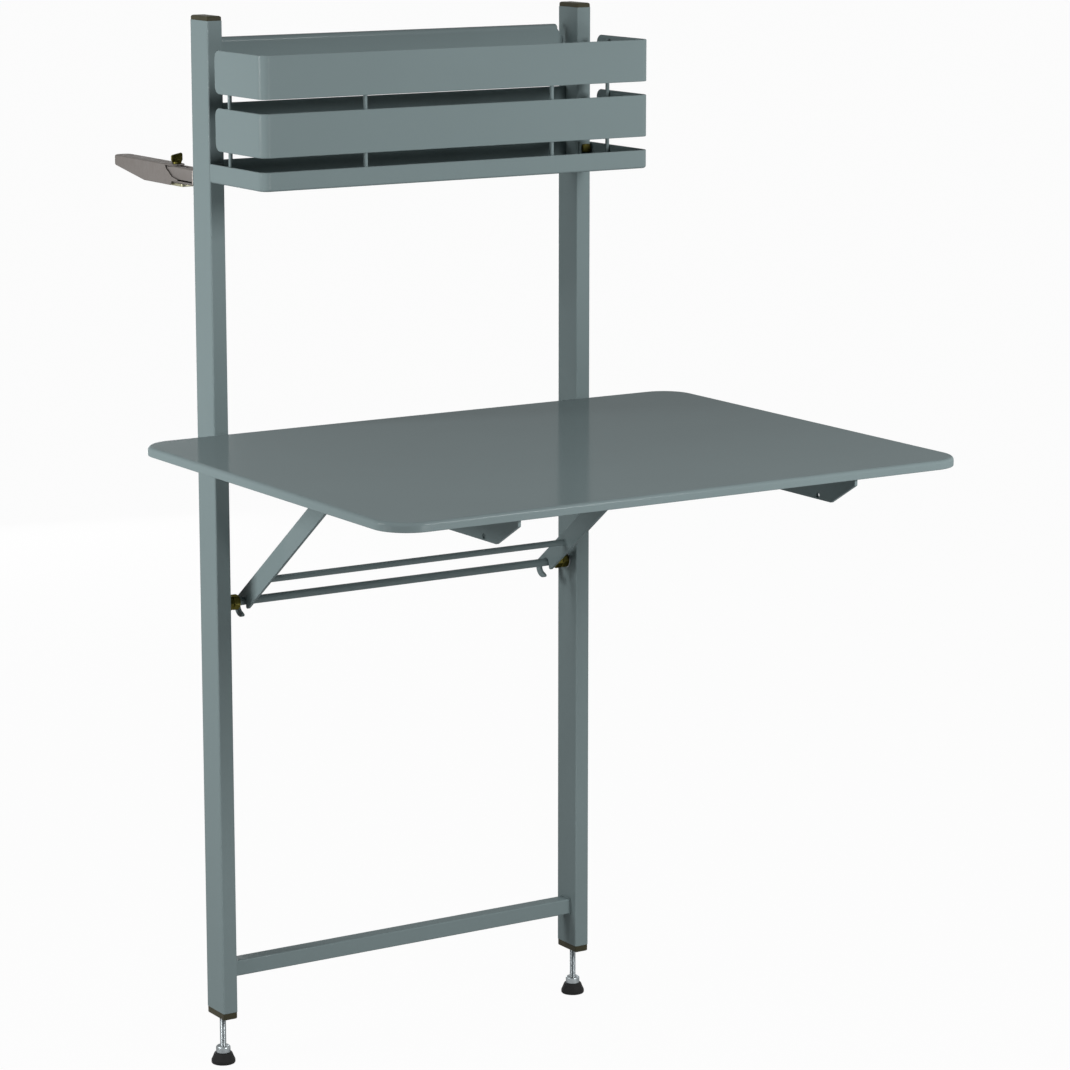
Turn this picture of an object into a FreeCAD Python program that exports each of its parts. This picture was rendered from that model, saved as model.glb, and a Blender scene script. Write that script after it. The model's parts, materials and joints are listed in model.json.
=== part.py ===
import FreeCAD, Part
import math
import os
import re
import Sketcher

# Balcony railing bar table.
# Origin: on the floor, midway between the two feet, under the posts' centre lines.
# +X runs from the left post to the right post, +Y towards the railing, +Z up.
# All sizes are in millimetres.

doc = FreeCAD.newDocument("railing_bar_table")
sheet = doc.addObject("Spreadsheet::Sheet", "dim")

SIZES = {
    # Posts, their end pieces and the crossbar
    "post_x": 260, "post_wide": 20, "post_deep": 44, "post_wall": 1.5, "post_corner": 2,
    "post_bottom": 70, "post_top": 1292,
    "cap_tall": 5.5, "cap_edge": 1.6, "end_inset": 0.4, "plug_long": 12, "plug_gap": 0.1,
    "insert_tall": 8.5, "insert_edge": 1.2,
    "crossbar_side": 20, "crossbar_bottom": 112,
    # Levelling feet
    "stud_radius": 4, "stud_top": 116, "stud_socket": 6, "thread_gap": 0.05,
    "collar_radius": 9, "collar_tall": 8.5, "collar_edge": 1.5,
    "pad_radius": 15, "pad_waist": 11, "pad_tall": 14, "pad_rim": 5, "pad_edge": 2,
    # Rods across the frame
    "rod_radius": 5, "rod_reach": 262, "rod_fit": 0.06, "rod_hole_gap": 0.1,
    "lower_rod_z": 585, "hinge_z": 770,
    "washer_radius": 10, "washer_thick": 2, "nut_flats": 17, "nut_long": 9, "lock_nut_turn": 8,
    "spacer_radius": 8,
    # Tabletop: a sheet with a turned-down lip
    "table_wide": 770, "table_front": 644.5, "table_back": 42, "table_top": 802,
    "table_sheet": 2, "table_lip": 11, "table_corner": 42, "table_roll": 4.5,
    # Rails on edge under the sheet
    "rail_x": 226, "rail_thick": 4, "rail_eye": 13, "rail_top": 800, "rail_neck": 786,
    "rail_step": 52, "rail_slope_back": 595, "rail_slope_front": 640, "rail_nose": 783.5,
    "rail_bend": 2, "catch_y": 570, "catch_z": 762, "catch_radius": 2.5,
    # Struts with claws, and their pivots
    "strut_x": 220, "strut_thick": 4, "strut_wide": 25, "pivot_y": 252, "pivot_z": 778,
    "pivot_radius": 4, "pivot_fit": 0.06, "pivot_head": 6.5, "pivot_head_long": 5,
    "pivot_washer": 8, "pivot_nut_flats": 13, "pivot_nut_long": 6.5, "pivot_tail": 2.5,
    "claw_end": 14, "claw_drop": 0.5, "seat_radius": 5.45, "seat_turn": 29,
    "bay_radius": 8.2, "bay_along": 10.2, "bay_down": 2, "mouth_below": 3,
    "lip_along": 0.7, "lip_lean": 1.66, "hook_along": 14.1, "hook_lean": 1.1,
    "hook_back": 16.1, "hook_rise": 7.7,
    "lip_round": 2.6, "hook_round": 2,
    "tie_radius": 4, "tie_y": 43.5,
    # Shelf tray, bands, spindles and back strips
    "shelf_x": 270, "shelf_front": 154, "shelf_sheet": 2, "shelf_corner": 11,
    "tray_bottom": 1101.6, "tray_tall": 22.5, "tray_gap": 1, "tray_roll": 3,
    "band_tall": 51, "band_space": 16.5, "band_back": 39, "band_round": 9,
    "strip_y": 4, "strip_end": 0.2, "strip_over": 1.5, "strip_top": 1270.6,
    "strip_bend": 5.5, "strip_flange": 10, "strip_side_gap": 4, "strip_ear_top": 1238.6,
    "strip_cut_wide": 9, "strip_cut_tall": 11.5,
    "spindle_radius": 2.5, "spindle_gap": 0.1, "spindle_side_y": 67, "spindle_front_x": 130,
    "spindle_top": 1254.6, "tab_wide": 18,
    "shelf_bolt_z": 1116.6, "shelf_bolt_head": 10.5, "shelf_bolt_head_long": 4.5,
    "shelf_bolt_radius": 3, "shelf_bolt_long": 14,
    # Railing bracket arms
    "arm_side": 20, "arm_bottom": 1093.5, "arm_far": 150, "arm_wall": 1.5,
    "slot_near": 47, "slot_far": 127, "slot_wide": 7,
    "slit_up": 3.2, "slit_tall": 2, "slit_near": 24,
    # Sliding hook channels
    "hook_wide": 24, "hook_top": 1115.2, "hook_sheet": 1.5, "hook_far": 234,
    "hook_far_low": 1104, "hook_vertex": 148, "hook_low": 1090.5, "hook_low_near": 78,
    "hook_tip_y": 54, "hook_tip_z": 1097.5, "hook_mid_y": 74, "hook_mid_z": 1101,
    "hook_under_z": 1095.5, "tongue_y": 87, "hook_web_near": 91, "hook_web_z": 1111, "hook_corner": 10,
    # Clamp blocks and wing screws
    "screw_y": 82, "screw_radius": 3, "screw_fit": 0.06,
    "block_wide": 16, "block_near": 54, "block_far": 90, "block_tall": 3.6, "block_gap": 0.1,
    "wing_base": 5.5, "wing_base_tall": 3, "wing_wide": 15, "wing_tall": 13.6,
    "wing_thick": 2.5, "wing_slant": 3, "wing_lift": 0.1, "wing_waist": 2, "wing_waist_tall": 3,
    # How far a cutting shape runs past the material
    "overlap": 1,
}
for row, (alias, number) in enumerate(SIZES.items(), 1):
    sheet.set("A%d" % row, alias.replace("_", " "))
    sheet.set("B%d" % row, str(number))
    sheet.setAlias("B%d" % row, alias)
doc.recompute()

parts = {}

# Distances below which two places count as the same, for edges that lie exactly in a plane and
# for corners of an outline, and the least volume that a cut has to take away
SAME_PLANE = 1e-4
SAME_CORNER = 0.02
LEAST_CUT = 0.01

# Radii of the outlines that the constraints start from, before they are solved
FIRST_POLYGON = 100
FIRST_CIRCLE = 5


def size(alias):
    """The number that the sheet holds under an alias."""
    return float(sheet.get(alias))


def formula(words):
    """An expression in which every alias is read from the sheet."""
    return re.sub(r"[a-z_]+", lambda word: ("dim." if word.group() in SIZES else "") + word.group(), words)


def bind(thing, sizes):
    """Tie properties to formulas of the sheet's aliases."""
    for name, words in sizes.items():
        thing.setExpression(name, formula(words))
    return thing


def put(thing, x="0", y="0", z="0"):
    """Tie a placement's position to formulas."""
    return bind(thing, {"Placement.Base.x": x, "Placement.Base.y": y, "Placement.Base.z": z})


def node(name, thing):
    """Name a finished sub-part."""
    thing.Label = name
    parts[name] = thing
    doc.recompute()
    return thing


def box(name, long_x, long_y, long_z, x, y, z):
    solid = doc.addObject("Part::Box", name)
    bind(solid, {"Length": long_x, "Width": long_y, "Height": long_z})
    return put(solid, x, y, z)


FLATS_UP = 30
TURNS = {
    "X": FreeCAD.Rotation(FreeCAD.Vector(0, 1, 0), 90),
    "Y": FreeCAD.Rotation(FreeCAD.Vector(1, 0, 0), -90),
    "Z": FreeCAD.Rotation(),
}


def rod(name, radius, length, x, y, z, along="Z"):
    """A cylinder that starts at a point and runs along +X, +Y or +Z."""
    solid = doc.addObject("Part::Cylinder", name)
    solid.Placement = FreeCAD.Placement(FreeCAD.Vector(), TURNS[along])
    bind(solid, {"Radius": radius, "Height": length})
    return put(solid, x, y, z)


def hexagon(name, flats, length, x, y, z, turn=0):
    """A hexagonal prism along +X, sized across its flats, which lie above and below unless it
    is turned by some degrees."""
    solid = doc.addObject("Part::Prism", name)
    solid.Polygon = 6
    spin = FreeCAD.Rotation(FreeCAD.Vector(1, 0, 0), turn + FLATS_UP)
    solid.Placement = FreeCAD.Placement(FreeCAD.Vector(), spin.multiply(TURNS["X"]))
    bind(solid, {"Circumradius": "(%s) / sqrt(3)" % flats, "Height": length})
    return put(solid, x, y, z)


def fuse(name, *solids):
    joined = doc.addObject("Part::MultiFuse", name)
    joined.Shapes = list(solids)
    joined.Refine = True
    return joined


def cut(name, base, *tools):
    less = doc.addObject("Part::Cut", name)
    less.Base = base
    less.Tool = tools[0] if len(tools) == 1 else fuse(name + "_tools", *tools)
    less.Refine = True
    return less


def group(name, *solids):
    """Several separate solids as one object."""
    together = doc.addObject("Part::Compound", name)
    together.Links = list(solids)
    return together


def mirror(name, source):
    """The same piece on the other side of the middle plane."""
    other = doc.addObject("Part::Mirroring", name)
    other.Source = source
    other.Normal = FreeCAD.Vector(1, 0, 0)
    return other


def pair(name, left):
    """A left piece and its mirrored right one, each a sub-part of its own."""
    node("left_" + name, left)
    return node("right_" + name, mirror("right_" + name + "_mirror", left))


def both_sides(name, left):
    """A left piece and its mirrored right one, in one sub-part."""
    return node(name, group(name + "_group", left, mirror(name + "_mirror", left)))


def body(name):
    return doc.addObject("PartDesign::Body", name)


def sketch(owner, name, plane, offset="0"):
    """An empty sketch on one of the body's own origin planes."""
    drawing = owner.newObject("Sketcher::SketchObject", name)
    face = [part for part in owner.Origin.OriginFeatures if part.Role == plane][0]
    drawing.AttachmentSupport = [(face, "")]
    drawing.MapMode = "FlatFace"
    drawing.setExpression("AttachmentOffset.Base.z", formula(offset))
    return drawing


def rectangle(x0, y0, x1, y1):
    """The corners of a rectangle, anticlockwise."""
    return [(x0, y0), (x1, y0), (x1, y1), (x0, y1)]


def polygon(drawing, points):
    """A closed outline whose corners are pairs of formulas."""
    count = len(points)
    start = []
    for index in range(count):
        angle = 2 * math.pi * index / count
        start.append(FreeCAD.Vector(FIRST_POLYGON * math.cos(angle), FIRST_POLYGON * math.sin(angle), 0))
    first = drawing.GeometryCount
    for index in range(count):
        drawing.addGeometry(Part.LineSegment(start[index], start[(index + 1) % count]), False)
    for index in range(count):
        following = first + (index + 1) % count
        drawing.addConstraint(Sketcher.Constraint("Coincident", first + index, 2, following, 1))
    for index, corner in enumerate(points):
        across = ("DistanceX", corner[0], start[index].x)
        upwards = ("DistanceY", corner[1], start[index].y)
        for kind, words, value in (across, upwards):
            number = drawing.addConstraint(Sketcher.Constraint(kind, -1, 1, first + index, 1, value))
            drawing.setExpression("Constraints[%d]" % number, formula(words))
    return drawing


def circle(drawing, x, y, radius):
    """A circle whose centre and radius are formulas."""
    first = Part.Circle(FreeCAD.Vector(1, 1, 0), FreeCAD.Vector(0, 0, 1), FIRST_CIRCLE)
    shape = drawing.addGeometry(first, False)
    for constraint, words in (
        (Sketcher.Constraint("DistanceX", -1, 1, shape, 3, 1), x),
        (Sketcher.Constraint("DistanceY", -1, 1, shape, 3, 1), y),
        (Sketcher.Constraint("Radius", shape, FIRST_CIRCLE), radius),
    ):
        number = drawing.addConstraint(constraint)
        drawing.setExpression("Constraints[%d]" % number, formula(words))
    return drawing


def pad(owner, drawing, length):
    feature = owner.newObject("PartDesign::Pad", drawing.Name + "_pad")
    feature.Profile = drawing
    bind(feature, {"Length": length})
    doc.recompute()
    return feature


def pocket(owner, drawing, reversed_cut=True):
    """Cut through everything, and make sure that something was cut."""
    before = owner.Shape.Volume
    feature = owner.newObject("PartDesign::Pocket", drawing.Name + "_pocket")
    feature.Profile = drawing
    feature.Type = "ThroughAll"
    feature.Reversed = reversed_cut
    doc.recompute()
    if not owner.Shape.Volume < before - LEAST_CUT:
        raise ValueError(drawing.Name + " cuts nothing")
    return feature


def edge_names(shape, wanted):
    return ["Edge%d" % (index + 1) for index, edge in enumerate(shape.Edges) if wanted(edge)]


def dress(owner, kind, amount, wanted):
    """A fillet or chamfer on the edges of the body's tip that a test picks."""
    base = owner.Tip
    name = "%s_%s_%d" % (owner.Name, kind.lower(), len(owner.Group))
    feature = owner.newObject("PartDesign::" + kind, name)
    feature.Base = (base, edge_names(base.Shape, wanted))
    bind(feature, {"Radius" if kind == "Fillet" else "Size": amount})
    doc.recompute()
    return feature


def runs_along(edge, axis):
    """Whether an edge is straight and parallel to axis 0, 1 or 2."""
    if edge.Curve.TypeId != "Part::GeomLine":
        return False
    step = edge.Vertexes[-1].Point - edge.Vertexes[0].Point
    return abs(abs(step[axis]) - step.Length) < SAME_PLANE


def lies_at(edge, axis, place):
    """Whether a whole edge lies in the plane where one coordinate has a value."""
    limits = edge.BoundBox
    low = (limits.XMin, limits.YMin, limits.ZMin)[axis]
    high = (limits.XMax, limits.YMax, limits.ZMax)[axis]
    return abs(low - place) < SAME_PLANE and abs(high - place) < SAME_PLANE


def starts_at(edge, axes, places):
    """Whether an edge's first end has these values on these axes."""
    point = edge.Vertexes[0].Point
    return all(abs(point[axis] - place) < SAME_CORNER for axis, place in zip(axes, places))


# Posts: rectangular tubes with holes for the rods, the shelf bolts and nothing else

def make_posts():
    outer = body("post_body")
    corners = rectangle("-post_wide / 2", "-post_deep / 2", "post_wide / 2", "post_deep / 2")
    section = polygon(sketch(outer, "post_section", "XY_Plane", "post_bottom"), corners)
    pad(outer, section, "post_top - post_bottom")
    dress(outer, "Fillet", "post_corner", lambda edge: runs_along(edge, 2))
    put(outer, "-post_x")
    hollow = box("post_hollow", "post_wide - 2 * post_wall", "post_deep - 2 * post_wall", "post_top",
                 "-post_x - post_wide / 2 + post_wall", "-post_deep / 2 + post_wall", "0")
    inner_face = "-post_x + post_wide / 2 - 2 * post_wall"
    holes = [rod(name, "rod_radius + rod_hole_gap", "4 * post_wall", inner_face, "0", height, "X")
             for name, height in (("post_lower_hole", "lower_rod_z"), ("post_upper_hole", "hinge_z"))]
    bolt_hole = rod("post_bolt_hole", "shelf_bolt_radius + rod_hole_gap", "4 * post_wall",
                    "-post_x", "-post_deep / 2 - post_wall", "shelf_bolt_z", "Y")
    pair("post", cut("post_tube", outer, hollow, bolt_hole, *holes))


def end_piece(name, flange_bottom, flange_tall, plug_bottom, dressed_face, dressing):
    """A flange as wide as the tube, less a small inset, with a plug that fills the tube's bore."""
    flange = body(name + "_flange")
    half_x = "(post_wide / 2 - end_inset)"
    half_y = "(post_deep / 2 - end_inset)"
    corners = rectangle("-" + half_x, "-" + half_y, half_x, half_y)
    pad(flange, polygon(sketch(flange, name + "_outline", "XY_Plane", flange_bottom), corners), flange_tall)
    dress(flange, "Fillet", "post_corner", lambda edge: runs_along(edge, 2))
    dress(flange, "Chamfer", dressing, lambda edge: lies_at(edge, 2, dressed_face))
    put(flange, "-post_x")
    wall = "(post_wall + plug_gap)"
    plug = box(name + "_plug", "post_wide - 2 * " + wall, "post_deep - 2 * " + wall, "plug_long",
               "-post_x - post_wide / 2 + " + wall, "-post_deep / 2 + " + wall, plug_bottom)
    return fuse(name + "_whole", flange, plug)


def make_post_ends():
    top_face = size("post_top") + size("cap_tall")
    pair("post_cap", end_piece("cap", "post_top", "cap_tall", "post_top - plug_long", top_face, "cap_edge"))
    low_face = size("post_bottom") - size("insert_tall")
    insert = end_piece("insert", "post_bottom - insert_tall", "insert_tall", "post_bottom",
                       low_face, "insert_edge")
    thread = rod("insert_thread", "stud_radius + thread_gap", "insert_tall + plug_long + 2 * overlap",
                 "-post_x", "0", "post_bottom - insert_tall - overlap")
    pair("post_insert", cut("insert_tapped", insert, thread))


def make_crossbar():
    clear = "2 * post_x - post_wide"
    outer = box("crossbar_outer", clear, "crossbar_side", "crossbar_side",
                "-post_x + post_wide / 2", "-crossbar_side / 2", "crossbar_bottom")
    inner = box("crossbar_bore", clear, "crossbar_side - 2 * post_wall", "crossbar_side - 2 * post_wall",
                "-post_x + post_wide / 2", "-crossbar_side / 2 + post_wall", "crossbar_bottom + post_wall")
    node("crossbar", cut("crossbar_tube", outer, inner))


# Levelling feet: rubber pad, zinc collar and threaded stud

def make_feet():
    rubber = body("pad_body")
    outline = sketch(rubber, "pad_profile", "XZ_Plane")
    polygon(outline, [("0", "0"), ("pad_radius", "0"), ("pad_radius", "pad_rim"),
                      ("pad_waist", "pad_tall"), ("stud_radius", "pad_tall"),
                      ("stud_radius", "pad_tall - stud_socket"), ("0", "pad_tall - stud_socket")])
    turned = rubber.newObject("PartDesign::Revolution", "pad_turned")
    turned.Profile = outline
    turned.ReferenceAxis = (outline, ["V_Axis"])
    turned.Angle = 360
    doc.recompute()
    rims = (0, size("pad_rim"), size("pad_tall"))
    outside_bore = (size("stud_radius") + size("collar_radius")) / 2
    dress(rubber, "Fillet", "pad_edge",
          lambda edge: edge.BoundBox.XMax > outside_bore and any(lies_at(edge, 2, level) for level in rims))
    put(rubber, "-post_x")
    pair("foot_pad", rubber)

    ring = body("collar_body")
    drawing = circle(sketch(ring, "collar_outline", "XY_Plane", "pad_tall"), "0", "0", "collar_radius")
    pad(ring, circle(drawing, "0", "0", "stud_radius"), "collar_tall")
    top_face = size("pad_tall") + size("collar_tall")
    dress(ring, "Chamfer", "collar_edge",
          lambda edge: lies_at(edge, 2, top_face) and edge.BoundBox.XMax > outside_bore)
    put(ring, "-post_x")
    pair("foot_collar", ring)

    bottom = "(pad_tall - stud_socket)"
    pair("foot_stud", rod("stud", "stud_radius", "stud_top - " + bottom, "-post_x", "0", bottom))


# Rods across the frame, with their nuts and washers against the posts. The lower rod has a second
# nut on each side that locks the first one

def rod_nut(name, start, height, turn=0):
    """A nut that is bored to fit a rod."""
    hexed = hexagon(name + "_hexagon", "nut_flats", "nut_long", start, "0", height, turn)
    hole = rod(name + "_hole", "rod_radius", "nut_long", start, "0", height, "X")
    return cut(name, hexed, hole)


def make_rods():
    face = "-post_x + post_wide / 2"
    for name, height in (("lower_rod", "lower_rod_z"), ("hinge_rod", "hinge_z")):
        node(name, rod(name + "_bar", "rod_radius", "2 * rod_reach", "-rod_reach", "0", height, "X"))
        disc = rod(name + "_disc", "washer_radius", "washer_thick", face, "0", height, "X")
        disc_hole = rod(name + "_disc_hole", "rod_radius", "washer_thick", face, "0", height, "X")
        both_sides(name + "_washers", cut(name + "_washer", disc, disc_hole))
    beside = face + " + washer_thick"
    first = rod_nut("lower_rod_nut", beside, "lower_rod_z")
    second = rod_nut("lower_rod_lock_nut", beside + " + nut_long", "lower_rod_z", size("lock_nut_turn"))
    both_sides("lower_rod_nuts", group("lower_rod_nut_pair", first, second))
    both_sides("hinge_rod_nuts", rod_nut("hinge_rod_nut", beside, "hinge_z"))
    start = face + " + washer_thick + nut_long"
    length = "post_x - post_wide / 2 - washer_thick - nut_long - rail_x - rail_thick / 2 - rod_hole_gap"
    tube = rod("spacer_outer", "spacer_radius", length, start, "0", "hinge_z", "X")
    bore = rod("spacer_bore", "rod_radius + rod_fit", length, start, "0", "hinge_z", "X")
    both_sides("hinge_spacers", cut("spacer", tube, bore))


# Tabletop: a pan of sheet metal, open below

def make_tabletop():
    top = body("tabletop_body")
    half = "table_wide / 2"
    corners = rectangle("-" + half, "-table_front", half, "-table_back")
    drawing = polygon(sketch(top, "tabletop_outline", "XY_Plane", "table_top - table_lip"), corners)
    pad(top, drawing, "table_lip")
    dress(top, "Fillet", "table_corner", lambda edge: runs_along(edge, 2))
    dress(top, "Fillet", "table_roll", lambda edge: lies_at(edge, 2, size("table_top")))
    low = size("table_top") - size("table_lip")
    base = top.Tip
    below = ["Face%d" % (index + 1) for index, face in enumerate(base.Shape.Faces)
             if face.BoundBox.ZLength < SAME_PLANE and abs(face.BoundBox.ZMin - low) < SAME_PLANE]
    shell = top.newObject("PartDesign::Thickness", "tabletop_sheet")
    shell.Base = (base, below)
    shell.Reversed = True
    shell.Join = 0
    bind(shell, {"Value": "table_sheet"})
    node("tabletop", top)


# Rails: plates on edge whose rear eyes turn on the hinge rod

def make_rails():
    rail = body("rail_body")
    low = "hinge_z - rail_eye"
    outline = [("0", low), ("0", "hinge_z + rail_eye"), ("-table_back", "rail_neck"),
               ("-rail_step", "rail_top"), ("-rail_slope_front", "rail_top"),
               ("-rail_slope_front", "rail_nose"), ("-rail_slope_back", low)]
    pad(rail, polygon(sketch(rail, "rail_outline", "YZ_Plane"), outline), "rail_thick")
    pad(rail, circle(sketch(rail, "rail_eye_outline", "YZ_Plane"), "0", "hinge_z", "rail_eye"), "rail_thick")
    holes = sketch(rail, "rail_holes", "YZ_Plane")
    circle(holes, "0", "hinge_z", "rod_radius + rod_fit")
    circle(holes, "-pivot_y", "pivot_z", "pivot_radius")
    circle(holes, "-catch_y", "catch_z", "catch_radius")
    pocket(rail, holes)
    bends = [(-size("rail_slope_back"), size("hinge_z") - size("rail_eye")),
             (-size("rail_slope_front"), size("rail_nose"))]
    dress(rail, "Fillet", "rail_bend",
          lambda edge: runs_along(edge, 0) and any(starts_at(edge, (1, 2), bend) for bend in bends))
    put(rail, "-rail_x - rail_thick / 2")
    pair("rail", rail)


# Struts: flat bars drawn along their own length, which runs from the lower rod up to the pivot.
# In the drawing the rod is at the origin, the pivot at -length, and the claw's mouth opens downwards.

def make_struts():
    reach = "sqrt(pivot_y ^ 2 + (pivot_z - lower_rod_z) ^ 2)"
    half = "strut_wide / 2"
    bar = body("strut_body")
    corners = [("-" + reach, "-" + half), ("claw_end", "-" + half), ("claw_end", half), ("-" + reach, half)]
    pad(bar, polygon(sketch(bar, "strut_outline", "YZ_Plane"), corners), "strut_thick")
    pad(bar, circle(sketch(bar, "strut_top", "YZ_Plane"), "-" + reach, "0", half), "strut_thick")
    claw = circle(sketch(bar, "strut_claw", "YZ_Plane"), "claw_end", "-claw_drop", half + " + claw_drop")
    pad(bar, claw, "strut_thick")
    pivot_hole = sketch(bar, "strut_pivot_hole", "YZ_Plane")
    pocket(bar, circle(pivot_hole, "-" + reach, "0", "pivot_radius + pivot_fit"))
    pocket(bar, circle(sketch(bar, "claw_seat", "YZ_Plane"), "0", "0", "seat_radius"))
    pocket(bar, circle(sketch(bar, "claw_bay", "YZ_Plane"), "bay_along", "-bay_down", "bay_radius"))
    below = "(strut_wide / 2 + mouth_below)"
    mouth = [("-seat_radius * cos(seat_turn)", "-seat_radius * sin(seat_turn)"), ("lip_along", "-" + half),
             ("lip_along + lip_lean", "-" + below), ("hook_along - hook_lean", "-" + below),
             ("hook_along", "-" + half), ("hook_back", "-hook_rise"), ("bay_along", "-bay_down"),
             ("bay_along", "bay_radius - bay_down"), ("0", "seat_radius"), ("0", "0")]
    pocket(bar, polygon(sketch(bar, "claw_mouth", "YZ_Plane"), mouth))
    low = -size("strut_wide") / 2
    dress(bar, "Fillet", "lip_round",
          lambda edge: runs_along(edge, 0) and starts_at(edge, (1, 2), (size("lip_along"), low)))
    tips = [edge.Vertexes[0].Point for edge in bar.Shape.Edges if runs_along(edge, 0)]
    tip = min((point for point in tips if point.y > size("bay_along")), key=lambda point: point.z)
    dress(bar, "Fillet", "hook_round",
          lambda edge: runs_along(edge, 0) and starts_at(edge, (1, 2), (tip.y, tip.z)))
    slope = math.degrees(math.atan2(size("pivot_z") - size("lower_rod_z"), size("pivot_y")))
    bar.Placement = FreeCAD.Placement(FreeCAD.Vector(), FreeCAD.Rotation(FreeCAD.Vector(-1, 0, 0), slope))
    bind(bar, {"Placement.Rotation.Angle": "atan((pivot_z - lower_rod_z) / pivot_y)"})
    put(bar, "-strut_x - strut_thick / 2", "0", "lower_rod_z")
    pair("strut", bar)
    tie_height = "lower_rod_z + tie_y * (pivot_z - lower_rod_z) / pivot_y"
    node("tie_rod", rod("tie_bar", "tie_radius", "2 * strut_x - strut_thick",
                        "-strut_x + strut_thick / 2", "-tie_y", tie_height, "X"))


def make_pivots():
    outside = "(-rail_x - rail_thick / 2)"
    inside = "(-strut_x + strut_thick / 2)"
    head = rod("pivot_head_disc", "pivot_head", "pivot_head_long",
               outside + " - pivot_head_long", "-pivot_y", "pivot_z", "X")
    shank = rod("pivot_shank", "pivot_radius", "%s - %s + pivot_nut_long + pivot_tail" % (inside, outside),
                outside, "-pivot_y", "pivot_z", "X")
    both_sides("strut_pivot_bolts", fuse("pivot_bolt", head, shank))
    gap = "rail_x - rail_thick / 2 - strut_x - strut_thick / 2"
    start = "-rail_x + rail_thick / 2"
    disc = rod("pivot_disc", "pivot_washer", gap, start, "-pivot_y", "pivot_z", "X")
    hole = rod("pivot_disc_hole", "pivot_radius", gap, start, "-pivot_y", "pivot_z", "X")
    both_sides("strut_pivot_washers", cut("pivot_washer_ring", disc, hole))
    nut = hexagon("pivot_hexagon", "pivot_nut_flats", "pivot_nut_long", inside, "-pivot_y", "pivot_z")
    thread = rod("pivot_hexagon_hole", "pivot_radius", "pivot_nut_long", inside, "-pivot_y", "pivot_z", "X")
    both_sides("strut_pivot_nuts", cut("pivot_nut", nut, thread))


# Shelf: tray, two bands, spindles and strips between the posts

def wrap(name, bottom, tall, back, round_ends):
    """A wall of sheet round the shelf's front and sides, open at the back."""
    wall = body(name)
    inner = "(shelf_x - shelf_sheet)"
    inner_front = "-(shelf_front - shelf_sheet)"
    outline = [("-shelf_x", back), ("-shelf_x", "-shelf_front"), ("shelf_x", "-shelf_front"),
               ("shelf_x", back), (inner, back), (inner, inner_front), ("-" + inner, inner_front),
               ("-" + inner, back)]
    pad(wall, polygon(sketch(wall, name + "_outline", "XY_Plane", bottom), outline), tall)
    outer = (size("shelf_x"), -size("shelf_front"))
    inside = (size("shelf_x") - size("shelf_sheet"), -size("shelf_front") + size("shelf_sheet"))

    def upright(corner):
        return lambda edge: runs_along(edge, 2) and any(
            starts_at(edge, (0, 1), (side * corner[0], corner[1])) for side in (-1, 1))

    dress(wall, "Fillet", "shelf_corner", upright(outer))
    dress(wall, "Fillet", "shelf_corner - shelf_sheet", upright(inside))
    if round_ends:
        rear = -size("band_back")
        dress(wall, "Fillet", "band_round", lambda edge: runs_along(edge, 0) and lies_at(edge, 1, rear)
              and edge.Length < 2 * size("shelf_sheet"))
    return wall


def make_tray():
    rear = "-post_deep / 2 - tray_gap"
    walls = wrap("tray_walls", "tray_bottom", "tray_tall", rear, False)
    floor = body("tray_floor")
    inner = "(post_x - post_wide / 2 - strip_end)"
    back = "(strip_y + shelf_sheet)"
    outline = [("-shelf_x", rear), ("-shelf_x", "-shelf_front"), ("shelf_x", "-shelf_front"),
               ("shelf_x", rear), (inner, rear), (inner, back), ("-" + inner, back), ("-" + inner, rear)]
    drawing = polygon(sketch(floor, "tray_floor_outline", "XY_Plane", "tray_bottom"), outline)
    pad(floor, drawing, "shelf_sheet")
    front_corner = (size("shelf_x"), -size("shelf_front"))
    dress(floor, "Fillet", "shelf_corner", lambda edge: runs_along(edge, 2) and any(
        starts_at(edge, (0, 1), (side * front_corner[0], front_corner[1])) for side in (-1, 1)))
    back_wall = box("tray_back_wall", "2 * " + inner, "shelf_sheet", "tray_tall + strip_over",
                    "-" + inner, "strip_y", "tray_bottom")
    tab = box("tray_tab", "tab_wide", "shelf_sheet", "tray_tall",
              "-shelf_x", rear + " - shelf_sheet", "tray_bottom")
    hole = rod("tray_tab_hole", "shelf_bolt_radius + rod_hole_gap", "3 * shelf_sheet",
               "-post_x", rear + " - 2 * shelf_sheet", "shelf_bolt_z", "Y")
    holed = cut("tray_tab_holed", tab, hole)
    whole = fuse("tray_fused", walls, floor, back_wall, holed, mirror("tray_tab_right", holed))
    rolled = doc.addObject("Part::Fillet", "tray_rolled")
    rolled.Base = whole
    doc.recompute()
    bottom = size("tray_bottom")
    outer_x = size("shelf_x")
    front_part = -size("band_back")

    def is_rolled(edge):
        at_side = any(lies_at(edge, 0, side * outer_x) for side in (-1, 1))
        return lies_at(edge, 2, bottom) and (at_side or edge.BoundBox.YMax < front_part)

    roll = size("tray_roll")
    rolled.Edges = [(int(name[4:]), roll, roll) for name in edge_names(whole.Shape, is_rolled)]
    node("shelf_tray", rolled)


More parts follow.
